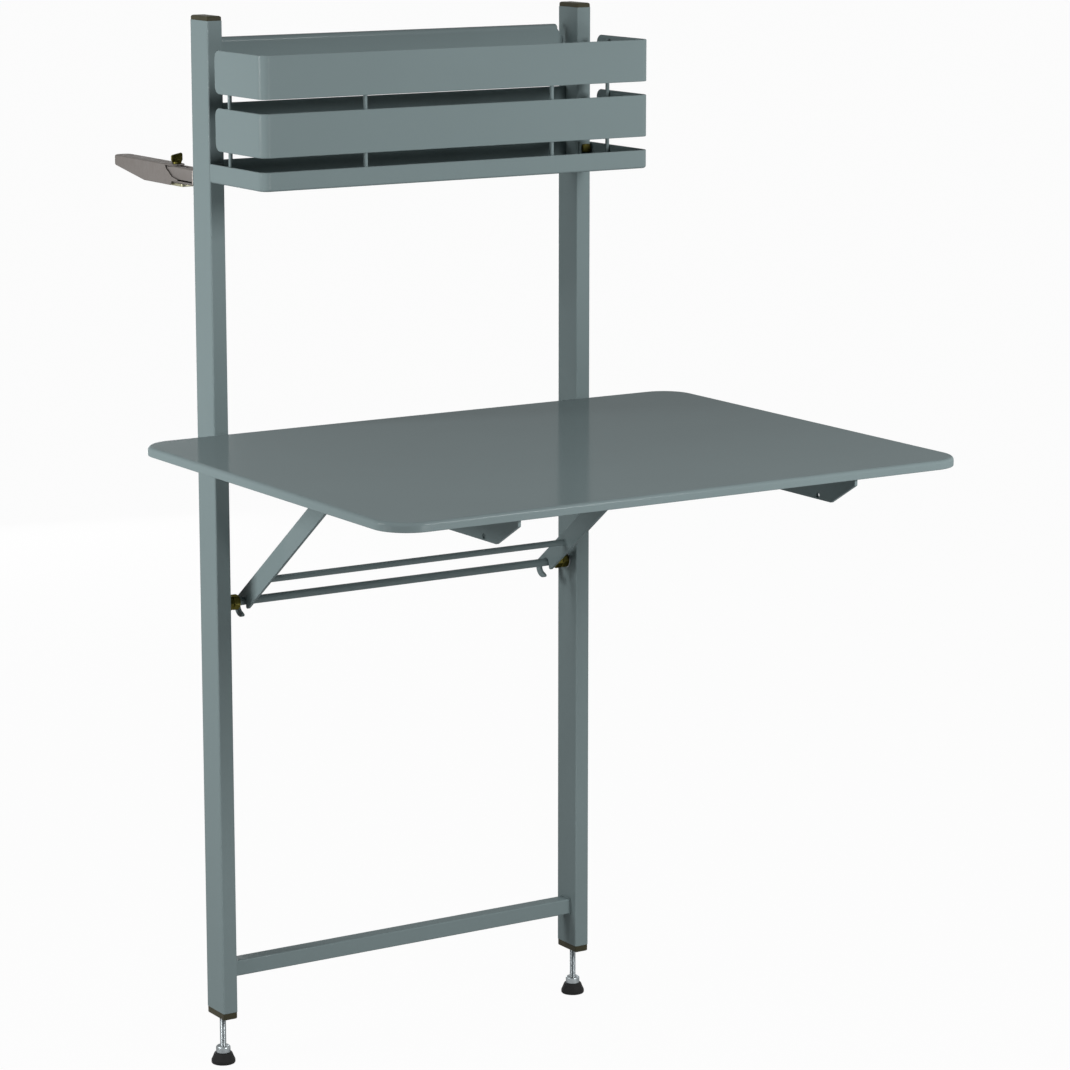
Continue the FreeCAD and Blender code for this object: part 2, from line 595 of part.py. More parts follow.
def make_top_strip(low, reach):
    """A web between the posts, whose upper edge is bent back into a flange. The web touches the
    posts only at its lower ears, and its upper corners are cut away beside them."""
    web = body("top_strip_web")
    side = "(post_x - post_wide / 2 - strip_side_gap)"
    short = "(%s - strip_cut_wide)" % side
    shoulder = "(strip_top - strip_bend)"
    right = [(reach, low), (reach, "strip_ear_top"), (side, "strip_ear_top"),
             (side, shoulder + " - strip_cut_tall"), (short, shoulder)]
    left = [("-" + across, height) for across, height in reversed(right)]
    drawing = sketch(web, "top_strip_outline", "XZ_Plane", "-(strip_y + shelf_sheet)")
    pad(web, polygon(drawing, right + left), "shelf_sheet")
    corner = box("top_strip_corner", "2 * " + short, "strip_flange", "strip_flange",
                 "-" + short, "strip_y", "strip_top - strip_flange")
    hollow = box("top_strip_hollow", "2 * " + short, "strip_flange", "strip_flange",
                 "-" + short, "strip_y + shelf_sheet", "strip_top - strip_flange - shelf_sheet")
    folded = cut("top_strip_folded", corner, hollow)
    doc.recompute()
    bent = doc.addObject("Part::Fillet", "top_strip_bent")
    bent.Base = folded
    bends = ((size("strip_y"), size("strip_top"), size("strip_bend")),
             (size("strip_y") + size("shelf_sheet"), size("strip_top") - size("shelf_sheet"),
              size("strip_bend") - size("shelf_sheet")))
    bent.Edges = [(int(name[4:]), radius, radius) for y, z, radius in bends for name in edge_names(
        folded.Shape, lambda edge: runs_along(edge, 0) and lies_at(edge, 1, y) and lies_at(edge, 2, z))]
    return fuse("top_strip", web, bent)


def make_shelf():
    make_tray()
    middle = "(tray_bottom + tray_tall + band_space)"
    upper = "(%s + band_tall + band_space)" % middle
    for name, bottom in (("shelf_middle_band", middle), ("shelf_upper_band", upper)):
        node(name, wrap(name + "_wrap", bottom, "band_tall", "-band_back", True))

    bottom = "(tray_bottom + shelf_sheet)"
    off_wall = "(shelf_sheet + spindle_radius + spindle_gap)"
    side = rod("spindle_side", "spindle_radius", "spindle_top - " + bottom,
               "-shelf_x + " + off_wall, "-spindle_side_y", bottom)
    front = rod("spindle_front", "spindle_radius", "spindle_top - " + bottom,
                "-spindle_front_x", "-shelf_front + " + off_wall, bottom)
    node("shelf_spindles", group("spindle_group", side, front, mirror("spindle_side_right", side),
                                 mirror("spindle_front_right", front)))

    inner = "(post_x - post_wide / 2 - strip_end)"
    node("shelf_middle_strip", box("middle_strip", "2 * " + inner, "shelf_sheet", "band_tall + strip_over",
                                   "-" + inner, "strip_y", middle))
    node("shelf_top_strip", make_top_strip(upper, inner))

    seat = "-post_deep / 2 - tray_gap - shelf_sheet"
    head = box("shelf_bolt_square", "shelf_bolt_head", "shelf_bolt_head_long", "shelf_bolt_head",
               "-post_x - shelf_bolt_head / 2", seat + " - shelf_bolt_head_long",
               "shelf_bolt_z - shelf_bolt_head / 2")
    shank = rod("shelf_bolt_shank", "shelf_bolt_radius", "shelf_bolt_long",
                "-post_x", seat, "shelf_bolt_z", "Y")
    both_sides("shelf_bolts", fuse("shelf_bolt", head, shank))


# Railing brackets: a square tube behind each post, a channel that slides on it and a wing screw
# that locks it

def make_arms():
    back = "post_deep / 2"
    left = "-post_x - arm_side / 2"
    tube = box("arm_outer", "arm_side", "arm_far - " + back, "arm_side", left, back, "arm_bottom")
    bore = box("arm_bore", "arm_side - 2 * arm_wall", "arm_far - " + back, "arm_side - 2 * arm_wall",
               left + " + arm_wall", back, "arm_bottom + arm_wall")
    slot = box("arm_slot", "slot_wide", "slot_far - slot_near", "2 * arm_side",
               "-post_x - slot_wide / 2", "slot_near", "arm_bottom - arm_side / 2")
    slit = box("arm_slit", "2 * arm_wall", "slot_far - slit_near", "slit_tall",
               left + " - arm_wall", "slit_near", "arm_bottom + slit_up")
    pair("bracket_arm", cut("arm_tube", tube, bore, slot, slit))


def make_channels():
    side = body("channel_side")
    outline = [("hook_web_near", "hook_top"), ("hook_web_near", "hook_web_z"), ("hook_mid_y", "hook_mid_z"),
               ("hook_tip_y", "hook_tip_z"), ("hook_mid_y", "hook_under_z"), ("hook_low_near", "hook_low"),
               ("hook_vertex", "hook_low"), ("hook_far", "hook_far_low"), ("hook_far", "hook_top")]
    pad(side, polygon(sketch(side, "channel_outline", "YZ_Plane"), outline), "hook_wide")
    far = size("hook_far")
    dress(side, "Fillet", "hook_corner", lambda edge: runs_along(edge, 2) and lies_at(edge, 1, far))
    top = size("hook_top")
    dress(side, "Fillet", "hook_sheet", lambda edge: lies_at(edge, 2, top) and runs_along(edge, 1))
    put(side, "-post_x - hook_wide / 2")
    tongue = rod("channel_tongue", "hook_wide / 2", "hook_sheet",
                 "-post_x", "tongue_y", "hook_top - hook_sheet")
    inside = box("channel_inside", "hook_wide - 2 * hook_sheet", "hook_far - hook_tip_y + arm_side",
                 "3 * arm_side",
                 "-post_x - hook_wide / 2 + hook_sheet", "hook_tip_y - arm_side - hook_sheet",
                 "hook_top - hook_sheet - 3 * arm_side")
    hollow = cut("channel_hollow", side, inside)
    hole = rod("channel_screw_hole", "screw_radius + screw_fit", "4 * hook_sheet", "-post_x", "screw_y",
               "hook_top - 2 * hook_sheet")
    pair("hook_channel", cut("channel_holed", fuse("channel_whole", hollow, tongue), hole))

    block_top = "arm_bottom - block_gap"
    block = box("block_outer", "block_wide", "block_far - block_near", "block_tall",
                "-post_x - block_wide / 2", "block_near", block_top + " - block_tall")
    thread = rod("block_thread", "screw_radius + screw_fit", "3 * block_tall", "-post_x", "screw_y",
                 block_top + " - 2 * block_tall")
    pair("clamp_block", cut("block_tapped", block, thread))


def make_wing_screws():
    bottom = "(arm_bottom - block_gap - block_tall)"
    base_bottom = "(hook_top + wing_lift)"
    shank = rod("wing_shank", "screw_radius", "%s - %s" % (base_bottom, bottom),
                "-post_x", "screw_y", bottom)
    base = rod("wing_base_disc", "wing_base", "wing_base_tall", "-post_x", "screw_y", base_bottom)
    wing = body("wing_body")
    half = "wing_wide / 2"
    top = base_bottom + " + wing_tall"
    low = base_bottom + " + wing_base_tall / 2"
    waist = half + " - wing_waist"
    shoulder = low + " + wing_waist_tall"
    outline = [("-(%s)" % waist, low), (waist, low), (half, shoulder), (half, top),
               ("-" + half, top + " - wing_slant"), ("-" + half, shoulder)]
    pad(wing, polygon(sketch(wing, "wing_outline", "XZ_Plane", "-wing_thick / 2"), outline), "wing_thick")
    upper = size("hook_top") + size("wing_tall") - size("wing_slant")
    dress(wing, "Fillet", "wing_slant / 2", lambda edge: runs_along(edge, 1) and edge.BoundBox.ZMin > upper)
    put(wing, "-post_x", "screw_y")
    pair("wing_screw", fuse("wing_whole", shank, base, wing))


def check_document():
    failed = [thing for thing in doc.Objects if "Invalid" in thing.State or "Error" in thing.State]
    if failed:
        raise ValueError("; ".join("%s: %s" % (thing.Label, thing.getStatusString()) for thing in failed))
    for name, thing in parts.items():
        shape = thing.Shape
        if shape.isNull() or not shape.isValid():
            raise ValueError(name + " has no valid shape")


def write_parts():
    os.makedirs("parts", exist_ok=True)
    for name, thing in parts.items():
        thing.Shape.exportStep(os.path.join("parts", name + ".step"))
        limits = thing.Shape.BoundBox
        print("%-22s %2d solids %9.1f mm3  x %7.1f %7.1f  y %7.1f %7.1f  z %7.1f %7.1f" % (
            name, len(thing.Shape.Solids), thing.Shape.Volume, limits.XMin, limits.XMax,
            limits.YMin, limits.YMax, limits.ZMin, limits.ZMax))


make_posts()
make_post_ends()
make_crossbar()
make_feet()
make_rods()
make_tabletop()
make_rails()
make_struts()
make_pivots()
make_shelf()
make_arms()
make_channels()
make_wing_screws()
doc.recompute()
check_document()
write_parts()
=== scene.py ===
# %% [markdown]
# A railing bar table in Blender
#
# The real object is a small table for a balcony. Two rectangular steel posts stand on screw
# feet, a sheet metal top hangs between them on a rod and leans on two flat struts, and a
# shelf with sheet guards sits at the posts' upper ends. Two brackets behind reach over the
# railing.
#
# The construction is already modelled at its real size. This script loads it as a fixed
# frame and makes each visible piece again as a smooth surface worked out with numpy, in
# the same place.

# %% Load the frame
import json
import math

import bmesh
import bpy
import numpy as np
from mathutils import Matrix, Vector
from mathutils.geometry import delaunay_2d_cdt


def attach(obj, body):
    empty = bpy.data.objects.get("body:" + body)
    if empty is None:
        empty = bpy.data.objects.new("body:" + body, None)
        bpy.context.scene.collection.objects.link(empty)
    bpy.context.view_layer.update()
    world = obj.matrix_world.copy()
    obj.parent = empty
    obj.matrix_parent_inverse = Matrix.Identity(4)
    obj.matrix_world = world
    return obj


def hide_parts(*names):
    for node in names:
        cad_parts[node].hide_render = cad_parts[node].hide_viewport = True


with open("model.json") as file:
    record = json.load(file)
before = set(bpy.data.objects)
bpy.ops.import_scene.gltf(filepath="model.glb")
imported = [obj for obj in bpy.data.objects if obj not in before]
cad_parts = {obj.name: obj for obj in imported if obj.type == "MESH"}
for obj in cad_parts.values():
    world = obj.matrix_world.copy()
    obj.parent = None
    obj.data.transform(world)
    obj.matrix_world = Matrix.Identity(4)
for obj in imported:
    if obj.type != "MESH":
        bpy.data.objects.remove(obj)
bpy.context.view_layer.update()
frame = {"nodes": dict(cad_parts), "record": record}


def new_object(name, data):
    """An object in the scene, at the origin."""
    thing = bpy.data.objects.new(name, data)
    bpy.context.scene.collection.objects.link(thing)
    return thing


def fill(node, values):
    """Plain values on a node's own sockets."""
    for socket, value in values.items():
        node.inputs[socket].default_value = value
    return node


def new_material(name, values):
    """A material with plain values on its shader, and its node tree."""
    material = bpy.data.materials.new(name)
    material.use_nodes = True
    fill(material.node_tree.nodes["Principled BSDF"], values)
    return material, material.node_tree


# %% [markdown]
# Seeing the object as the photograph does
#
# The camera's place comes from matching straight edges of known direction: posts, table
# edges and shelf edges. It stands to the left of the table, a little above the shelf, far
# back with a long lens, so that parallel edges stay nearly parallel.

# %% Camera
CAMERA_PLACE = (-2.3382, -3.9875, 1.5599)
CAMERA_TURN = math.radians(-32.49)
CAMERA_DIP = math.radians(11.22)
SENSOR_MM = 36.0
LENS_MM = 126.56

camera_data = bpy.data.cameras.new("camera")
camera_data.sensor_width = SENSOR_MM
camera_data.lens = LENS_MM
camera = new_object("camera", camera_data)
bpy.context.scene.camera = camera
looking = Vector((-math.sin(CAMERA_TURN) * math.cos(CAMERA_DIP),
                  math.cos(CAMERA_TURN) * math.cos(CAMERA_DIP), -math.sin(CAMERA_DIP)))
camera.location = CAMERA_PLACE
camera.rotation_euler = looking.to_track_quat("-Z", "Y").to_euler()
print("camera looks along", tuple(round(value, 3) for value in looking))

# %% [markdown]
# A plain studio
#
# Sheet metal shows its shape when each face gets a different amount of light. One lamp stands
# close at the left with a weak one below it, two stand in front and a little to the right,
# one above the other, a weak one fills the right side, and a low one lights the back. The
# world gives very little light, so the underside of the table stays dark. World and floor
# show white to the camera and in reflections through Light Path, but the floor throws only
# a little light upwards.

# %% Light and floor
WHITE_SHARE = 0.97
WORLD_LIGHT = 0.06
FLOOR_TONE = 0.35
FLOOR_HALF = 45.0
LAMP_AIM = (0.0, -0.1, 0.75)
WHITE = (1.0, 1.0, 1.0, 1.0)

bpy.context.scene.view_settings.view_transform = "Standard"


def seen_directly(tree):
    """1 for rays from the camera and for rays that a mirror or a glass sent on, otherwise 0."""
    path = tree.nodes.new("ShaderNodeLightPath")
    seen = path.outputs["Is Camera Ray"]
    for kind in ("Is Transmission Ray", "Is Glossy Ray"):
        larger = tree.nodes.new("ShaderNodeMath")
        larger.operation = "MAXIMUM"
        tree.links.new(seen, larger.inputs[0])
        tree.links.new(path.outputs[kind], larger.inputs[1])
        seen = larger.outputs[0]
    return seen


def blend(tree, share, first, second, output):
    """The first shader at a share of 0 and the second at 1, on the tree's output."""
    mix = tree.nodes.new("ShaderNodeMixShader")
    for source, socket in zip((share, first.outputs[0], second.outputs[0]), mix.inputs):
        tree.links.new(source, socket)
    tree.links.new(mix.outputs[0], tree.nodes[output].inputs["Surface"])


world = bpy.data.worlds.new("studio")
bpy.context.scene.world = world
world.use_nodes = True
world_tree = world.node_tree
world_light = fill(world_tree.nodes["Background"],
                   {"Color": (0.96, 0.98, 1.0, 1.0), "Strength": WORLD_LIGHT})
world_white = fill(world_tree.nodes.new("ShaderNodeBackground"), {"Color": WHITE, "Strength": 1.0})
blend(world_tree, seen_directly(world_tree), world_light, world_white, "World Output")


def soft_lamp(name, place, size, power):
    """A square area lamp at a place, facing the middle of the table."""
    data = bpy.data.lights.new(name, "AREA")
    data.shape = "SQUARE"
    data.size = size
    data.energy = power
    lamp = new_object(name, data)
    lamp.location = place
    lamp.rotation_euler = (Vector(LAMP_AIM) - Vector(place)).to_track_quat("-Z", "Y").to_euler()


soft_lamp("left_lamp", (-1.9, 0.15, 1.3), 0.7, 30.0)
soft_lamp("left_low_lamp", (-2.0, -0.5, 0.35), 0.8, 6.0)
soft_lamp("front_low_lamp", (0.6, -3.2, 0.6), 1.0, 23.0)
soft_lamp("front_high_lamp", (0.9, -2.4, 1.88), 0.8, 46.0)
soft_lamp("right_lamp", (3.1, 0.3, 1.3), 1.2, 4.0)
soft_lamp("back_lamp", (0.9, 3.4, 0.7), 1.2, 34.0)

# The floor is a large level square at the height of the feet's soles.
floor_mesh = bpy.data.meshes.new("floor")
signs = ((-1, -1), (1, -1), (1, 1), (-1, 1))
floor_mesh.from_pydata([(x * FLOOR_HALF, y * FLOOR_HALF, 0) for x, y in signs], [], [(0, 1, 2, 3)])
floor_material, floor_tree = new_material("floor_white", {
    "Base Color": (FLOOR_TONE, FLOOR_TONE, FLOOR_TONE, 1.0), "Roughness": 1.0,
    "Specular IOR Level": 0.0})
floor_mesh.materials.append(floor_material)
glow = fill(floor_tree.nodes.new("ShaderNodeEmission"), {"Strength": 1.0})
share = fill(floor_tree.nodes.new("ShaderNodeMath"), {1: WHITE_SHARE})
share.operation = "MULTIPLY"
floor_tree.links.new(seen_directly(floor_tree), share.inputs[0])
blend(floor_tree, share.outputs[0], floor_tree.nodes["Principled BSDF"], glow, "Material Output")
new_object("floor", floor_mesh)
print("studio ready")

# %% [markdown]
# The finishes
#
# Nearly everything is steel under a satin powder coat. Powder melts into a skin with a very
# fine orange peel, so the coat is one Principled shader with three layers of noise: a tiny
# bump a millimetre across, a very faint drift in tone over a hand's width, and a slow change
# in roughness. The powder itself is matt, so its specular level is zero. A thin glossy
# skin over it, the shader's coat, mirrors the posts faintly in the table. All patterns read
# Object coordinates, which are metres here.

# %% Material helpers
NOISE_LOW, NOISE_HIGH = 0.3, 0.7


def dress(tree, colour, roughness, normal):
    """The shader's colour, roughness and normal, each at the end of a chain of nodes."""
    shader = tree.nodes["Principled BSDF"]
    for source, socket in ((colour, "Base Color"), (roughness, "Roughness"), (normal, "Normal")):
        tree.links.new(source, shader.inputs[socket])


def noise(tree, scale, detail=2.0, roughness=0.5):
    """Noise on Object coordinates, with a scale in features per metre."""
    place = tree.nodes.new("ShaderNodeTexCoord")
    values = {"Scale": scale, "Detail": detail, "Roughness": roughness}
    texture = fill(tree.nodes.new("ShaderNodeTexNoise"), values)
    tree.links.new(place.outputs["Object"], texture.inputs["Vector"])
    return texture.outputs["Fac"]


def spread(tree, value, low, high):
    """The middle of a noise mapped onto a range."""
    values = {"From Min": NOISE_LOW, "From Max": NOISE_HIGH, "To Min": low, "To Max": high}
    mapping = fill(tree.nodes.new("ShaderNodeMapRange"), values)
    tree.links.new(value, mapping.inputs["Value"])
    return mapping.outputs["Result"]


def tones(tree, value, dark, light):
    """A colour between two tones."""
    ramp = tree.nodes.new("ShaderNodeValToRGB")
    for stop, place, tone in zip(ramp.color_ramp.elements, (NOISE_LOW, NOISE_HIGH), (dark, light)):
        stop.position = place
        stop.color = (*tone, 1.0)
    tree.links.new(value, ramp.inputs["Fac"])
    return ramp.outputs["Color"]


def bump(tree, value, distance, strength):
    """A height in metres as a bump."""
    node = fill(tree.nodes.new("ShaderNodeBump"), {"Strength": strength, "Distance": distance})
    tree.links.new(value, node.inputs["Height"])
    return node.outputs["Normal"]


# %% Powder coat


def make_paint():
    material, tree = new_material("grey_green_powder_coat", {
        "Specular IOR Level": 0.0, "Coat Weight": 0.12, "Coat Roughness": 0.12})
    dress(tree, tones(tree, noise(tree, 5.0, 3.0), (0.184, 0.234, 0.239), (0.19, 0.242, 0.247)),
          spread(tree, noise(tree, 28.0, 3.0), 0.47, 0.53),
          bump(tree, noise(tree, 850.0), 0.00004, 0.5))
    return material


# %% [markdown]
# Plastic, rubber and plated steel
#
# The end caps are moulded plastic with a fine grain. The feet's pads are matt black rubber
# with a little dust in scattered patches. The small hardware is zinc plated: bright on the
# studs, yellow passivated on nuts and bolts, dull and stained on the railing brackets.

# %% Plastic and rubber


def make_plastic():
    material, tree = new_material("dark_moulded_plastic", {"Specular IOR Level": 0.12})
    grain = noise(tree, 1600.0)
    dress(tree, tones(tree, noise(tree, 60.0), (0.034, 0.032, 0.018), (0.046, 0.043, 0.024)),
          spread(tree, grain, 0.5, 0.62), bump(tree, grain, 0.00003, 0.6))
    return material


def make_rubber():
    material, tree = new_material("black_rubber", {"Specular IOR Level": 0.15})
    dust = noise(tree, 140.0, 4.0, 0.7)
    dress(tree, tones(tree, dust, (0.008, 0.008, 0.008), (0.018, 0.018, 0.018)),
          spread(tree, dust, 0.62, 0.8), bump(tree, noise(tree, 1100.0), 0.00005, 0.5))
    return material


# %% Plated steel


def make_plating(name, dark, light, rough_low, rough_high, spot_scale):
    """Metal whose tone and gloss change in small clouds, with fine scratches as a bump. The
    tint dims its reflections at a grazing angle, as the rough plating does."""
    material, tree = new_material(name, {"Metallic": 1.0, "Specular Tint": (0.4, 0.4, 0.4, 1.0)})
    clouds = noise(tree, spot_scale, 4.0, 0.6)
    dress(tree, tones(tree, clouds, dark, light), spread(tree, clouds, rough_high, rough_low),
          bump(tree, noise(tree, 2200.0, 3.0, 0.7), 0.00003, 0.5))
    return material


PLATINGS = {
    "zinc": ("bright_zinc", (0.2, 0.22, 0.23), (0.34, 0.37, 0.38), 0.26, 0.4, 160.0),
    "yellow_zinc": ("yellow_zinc", (0.04, 0.036, 0.008), (0.095, 0.086, 0.022),
                    0.34, 0.48, 220.0),
    "pale_yellow_zinc": ("pale_yellow_zinc", (0.3, 0.29, 0.2), (0.46, 0.45, 0.32),
                         0.32, 0.5, 180.0),
    "bracket_zinc": ("dull_bracket_zinc", (0.182, 0.168, 0.158), (0.234, 0.219, 0.209),
                     0.45, 0.58, 70.0),
}
FINISHES = {"paint": make_paint(), "dark_plastic": make_plastic(), "rubber": make_rubber()}
FINISHES.update({slot: make_plating(*look) for slot, look in PLATINGS.items()})
slot_of_node = {part["node"]: part["material_slot"] for part in frame["record"]["subparts"]}
for node_name, node_object in frame["nodes"].items():
    node_object.data.materials.clear()
    node_object.data.materials.append(FINISHES[slot_of_node[node_name]])
print("finishes:", ", ".join(FINISHES))

# %% [markdown]
# Surfaces as stacked rings
#
# Most pieces here are a closed outline that changes as it travels: a tube, a turned foot, a
# folded wall. Each is an array of rings. Neighbouring rings are joined with quads, whose
# index arrays are worked out at once with numpy, and a face at each end closes the shell.

# %% Rings to shells


def ring_quads(count, around):
    """Quads between rings: a point, the next one round, and the same two a ring further."""
    ring, point = np.meshgrid(np.arange(count - 1), np.arange(around), indexing="ij")
    here = ring * around + point
    beside = ring * around + (point + 1) % around
    return np.stack([here, beside, beside + around, here + around], axis=-1).reshape(-1, 4).tolist()


def shell(rings):
    """Points and faces of a stack of rings, with a many-sided face over each end."""
    rings = np.array(rings)
    count, around = rings.shape[:2]
    first = np.arange(around)[::-1].tolist()
    last = (np.arange(around) + (count - 1) * around).tolist()
    return rings.reshape(-1, 3), ring_quads(count, around) + [first, last]


def together(*shells):
    """Several shells as one list of points and one of faces."""
    starts = np.cumsum([0] + [len(points) for points, _ in shells])
    faces = [[index + start for index in face]
             for (_, part), start in zip(shells, starts) for face in part]
    return np.concatenate([points for points, _ in shells]), faces


def other_side(part):
    """The same shell on the other side of the plane x = 0."""
    return part[0] * np.array([-1.0, 1.0, 1.0]), part[1]


def both(part):
    """A shell and its mirror image as one."""
    return together(part, other_side(part))


# %% [markdown]
# From shell to piece
#
# A piece's points are in the object's frame, so it stays at the origin. Doubles are merged
# and normals recalculated. It is shaded smooth with sharp creases, and a Weighted Normal
# modifier lets the large faces decide, so that a flat face stays flat up to its rounding.

# %% Pieces
CREASE = math.radians(40)
MERGE = 1e-7


def add_piece(name, part, body, node):
    """A mesh object from a shell. It rides on a body and stands for a CAD node, whose
    material slot it takes over."""
    points, faces = part
    slot = slot_of_node[node]
    mesh = bpy.data.meshes.new(name)
    mesh.from_pydata(np.asarray(points, float).tolist(), [], faces)
    work = bmesh.new()
    work.from_mesh(mesh)
    bmesh.ops.remove_doubles(work, verts=work.verts, dist=MERGE)
    bmesh.ops.recalc_face_normals(work, faces=work.faces)
    work.to_mesh(mesh)
    work.free()
    mesh.shade_smooth()
    mesh.set_sharp_from_angle(angle=CREASE)
    mesh.materials.append(FINISHES[slot])
    piece = new_object(name, mesh)
    even = piece.modifiers.new("even_normals", "WEIGHTED_NORMAL")
    even.keep_sharp = True
    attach(piece, body)
    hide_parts(node)
    print("%-24s %6d points %6d faces" % (name, len(mesh.vertices), len(mesh.polygons)))
    return piece


def add_sides(*rows):
    """Each row's piece at the left, then its mirror image at the right. A star in a text
    stands for the side."""
    return [add_piece(name.replace("*", side), part if side == "left" else other_side(part),
                      body.replace("*", side), node.replace("*", side))
            for side in ("left", "right") for name, part, body, node in rows]


# %% [markdown]
# Outlines
#
# Everything starts from flat outlines of straight runs and arcs: points along an arc, a
# rounded rectangle, and a polygon with a radius at each corner. A fourth helper moves an
# outline inwards, which softens a rim.

# %% Outlines


def arc(centre, radius, start, end, steps):
    """Points on an arc, with its angles in degrees."""
    angle = np.radians(np.linspace(start, end, steps + 1))
    return np.array(centre) + radius * np.stack([np.cos(angle), np.sin(angle)], axis=1)


def rounded_rectangle(low, high, radius, steps=6):
    """A closed outline with four rounded corners, anticlockwise."""
    (x0, y0), (x1, y1) = low, high
    corners = ((x1 - radius, y0 + radius, -90), (x1 - radius, y1 - radius, 0),
               (x0 + radius, y1 - radius, 90), (x0 + radius, y0 + radius, 180))
    return np.concatenate([arc(centre, radius, start, start + 90, steps)
                           for *centre, start in corners])


def unit(vector):
    """A vector, or each row of an array, over its length."""
    return vector / np.linalg.norm(vector, axis=-1, keepdims=True)


def softened(corners, radii, steps=6):
    """A polygon with arcs for corners. An arc's circle touches both edges, so it starts at
    the radius over the tangent of half the corner's angle, and its centre is on the bisector."""
    corners = np.array(corners, float)
    runs = []
    for index, radius in enumerate(radii):
        here = corners[index]
        if radius == 0:
            runs.append(here[None, :])
            continue
        back = unit(corners[index - 1] - here)
        ahead = unit(corners[(index + 1) % len(corners)] - here)
        half = np.arccos(np.clip(back @ ahead, -1, 1)) / 2
        centre = here + unit(back + ahead) * radius / np.sin(half)
        start = here + back * radius / np.tan(half) - centre
        end = here + ahead * radius / np.tan(half) - centre
        turn = np.arctan2(start[0] * end[1] - start[1] * end[0], start @ end)
        angle = np.linspace(0, turn, steps + 1)[:, None]
        across = np.array([-start[1], start[0]])
        runs.append(centre + start * np.cos(angle) + across * np.sin(angle))
    return np.concatenate(runs)


def inset_outline(outline, amount):
    """Every point moved to the left of the path, along the bisector of its two edges."""
    ahead = unit(np.roll(outline, -1, axis=0) - outline)
    behind = unit(outline - np.roll(outline, 1, axis=0))
    bisector = unit(np.stack([-(ahead + behind)[:, 1], (ahead + behind)[:, 0]], axis=1))
    lean = (bisector * np.stack([-ahead[:, 1], ahead[:, 0]], axis=1)).sum(axis=1)
    return outline + bisector * (amount / np.clip(lean, 0.5, 1.0))[:, None]


# %% [markdown]
# Flat plates and turned parts
#
# A plate cut from sheet or bar is an outline with a thickness and a rim with a small quarter
# round at each face. The faces are filled between the outline and its holes. A turned part
# is a profile of radius and distance that goes once round an axis. A nut or a square head is
# turned from bar: its radius is the smaller of the bar's and of a cone that cuts the corners.

# %% Plates
TRIANGLES_ROUND_HOLES = 2


def stand(flat, level, across):
    """Flat points with their level on the axis that the plate's thickness follows."""
    first, second = flat[:, 0], flat[:, 1]
    depth = np.full(len(flat), level)
    orders = {"X": (depth, first, second), "Y": (first, depth, second), "Z": (first, second, depth)}
    return np.stack(orders[across], axis=1)


def rim_profile(thickness, edge):
    """Pairs of inset and height across a rim: a quarter round, the wall, a quarter round."""
    angle = np.radians(np.linspace(0, 90, 4))
    low = np.stack([edge - edge * np.sin(angle), edge - edge * np.cos(angle)], axis=1)
    high = np.stack([low[::-1, 0], thickness - low[::-1, 1]], axis=1)
    return np.concatenate([low, high])


def filled(loops):
    """Faces between an outline and its holes, as indices into the loops' points in order."""
    if len(loops) == 1:
        return [list(range(len(loops[0])))]
    starts = np.cumsum([0] + [len(loop) for loop in loops])
    rings = [(start + np.arange(len(loop))).tolist() for loop, start in zip(loops, starts)]
    points = [Vector(point) for point in np.concatenate(loops)]
    _, _, faces, sources, _, _ = delaunay_2d_cdt(points, [], rings, TRIANGLES_ROUND_HOLES, 1e-9)
    return [[sources[index][0] for index in face] for face in faces]


def plate(loops, start, thickness, edge, across):
    """Each loop's rim, and the two faces. An outline runs anticlockwise, a hole clockwise."""
    profile = rim_profile(thickness, edge)
    rims = []
    for loop in loops:
        rings = np.array([stand(inset_outline(loop, inward), start + height, across)
                          for inward, height in profile])
        rims.append((rings.reshape(-1, 3), ring_quads(*rings.shape[:2])))
    points, faces = together(*rims)
    lengths = [len(loop) for loop in loops]
    starts = np.cumsum([0] + [len(profile) * length for length in lengths])[:-1]
    near = np.concatenate([first + np.arange(length) for first, length in zip(starts, lengths)])
    far = near + np.repeat((len(profile) - 1) * np.array(lengths), lengths)
    flat = filled([inset_outline(loop, edge) for loop in loops])
    faces += [near[face][::-1].tolist() for face in flat] + [far[face].tolist() for face in flat]
    return points, faces


# %% Turned parts
AXES = {"X": (2, 0, 1), "Y": (1, 2, 0), "Z": (0, 1, 2)}
CONE_SHARE, CONE_SLOPE = 0.97, 1.73
THREAD_DEPTH, RIDGE_SLOPE, RIDGE_FLAT = 0.45, 1.3, 0.1


def round_angle(around):
    """Even steps once round, as a row."""
    return np.linspace(0, 2 * np.pi, around, endpoint=False)[None, :]


def about(radius, angle, reach, centre, axis):
    """A shell from the radius at each distance along an axis and each angle round it."""
    across = radius * np.cos(angle)
    places = (across, radius * np.sin(angle), reach + 0 * across)
    return shell(np.stack([places[index] for index in AXES[axis]], axis=-1) + np.array(centre))


def turned(profile, centre, axis="Z", around=48):
    """A surface of revolution: radius times the cosine and sine of the angle."""
    radius, reach = np.array(profile, float).T[:, :, None]
    return about(radius, round_angle(around), reach, centre, axis)


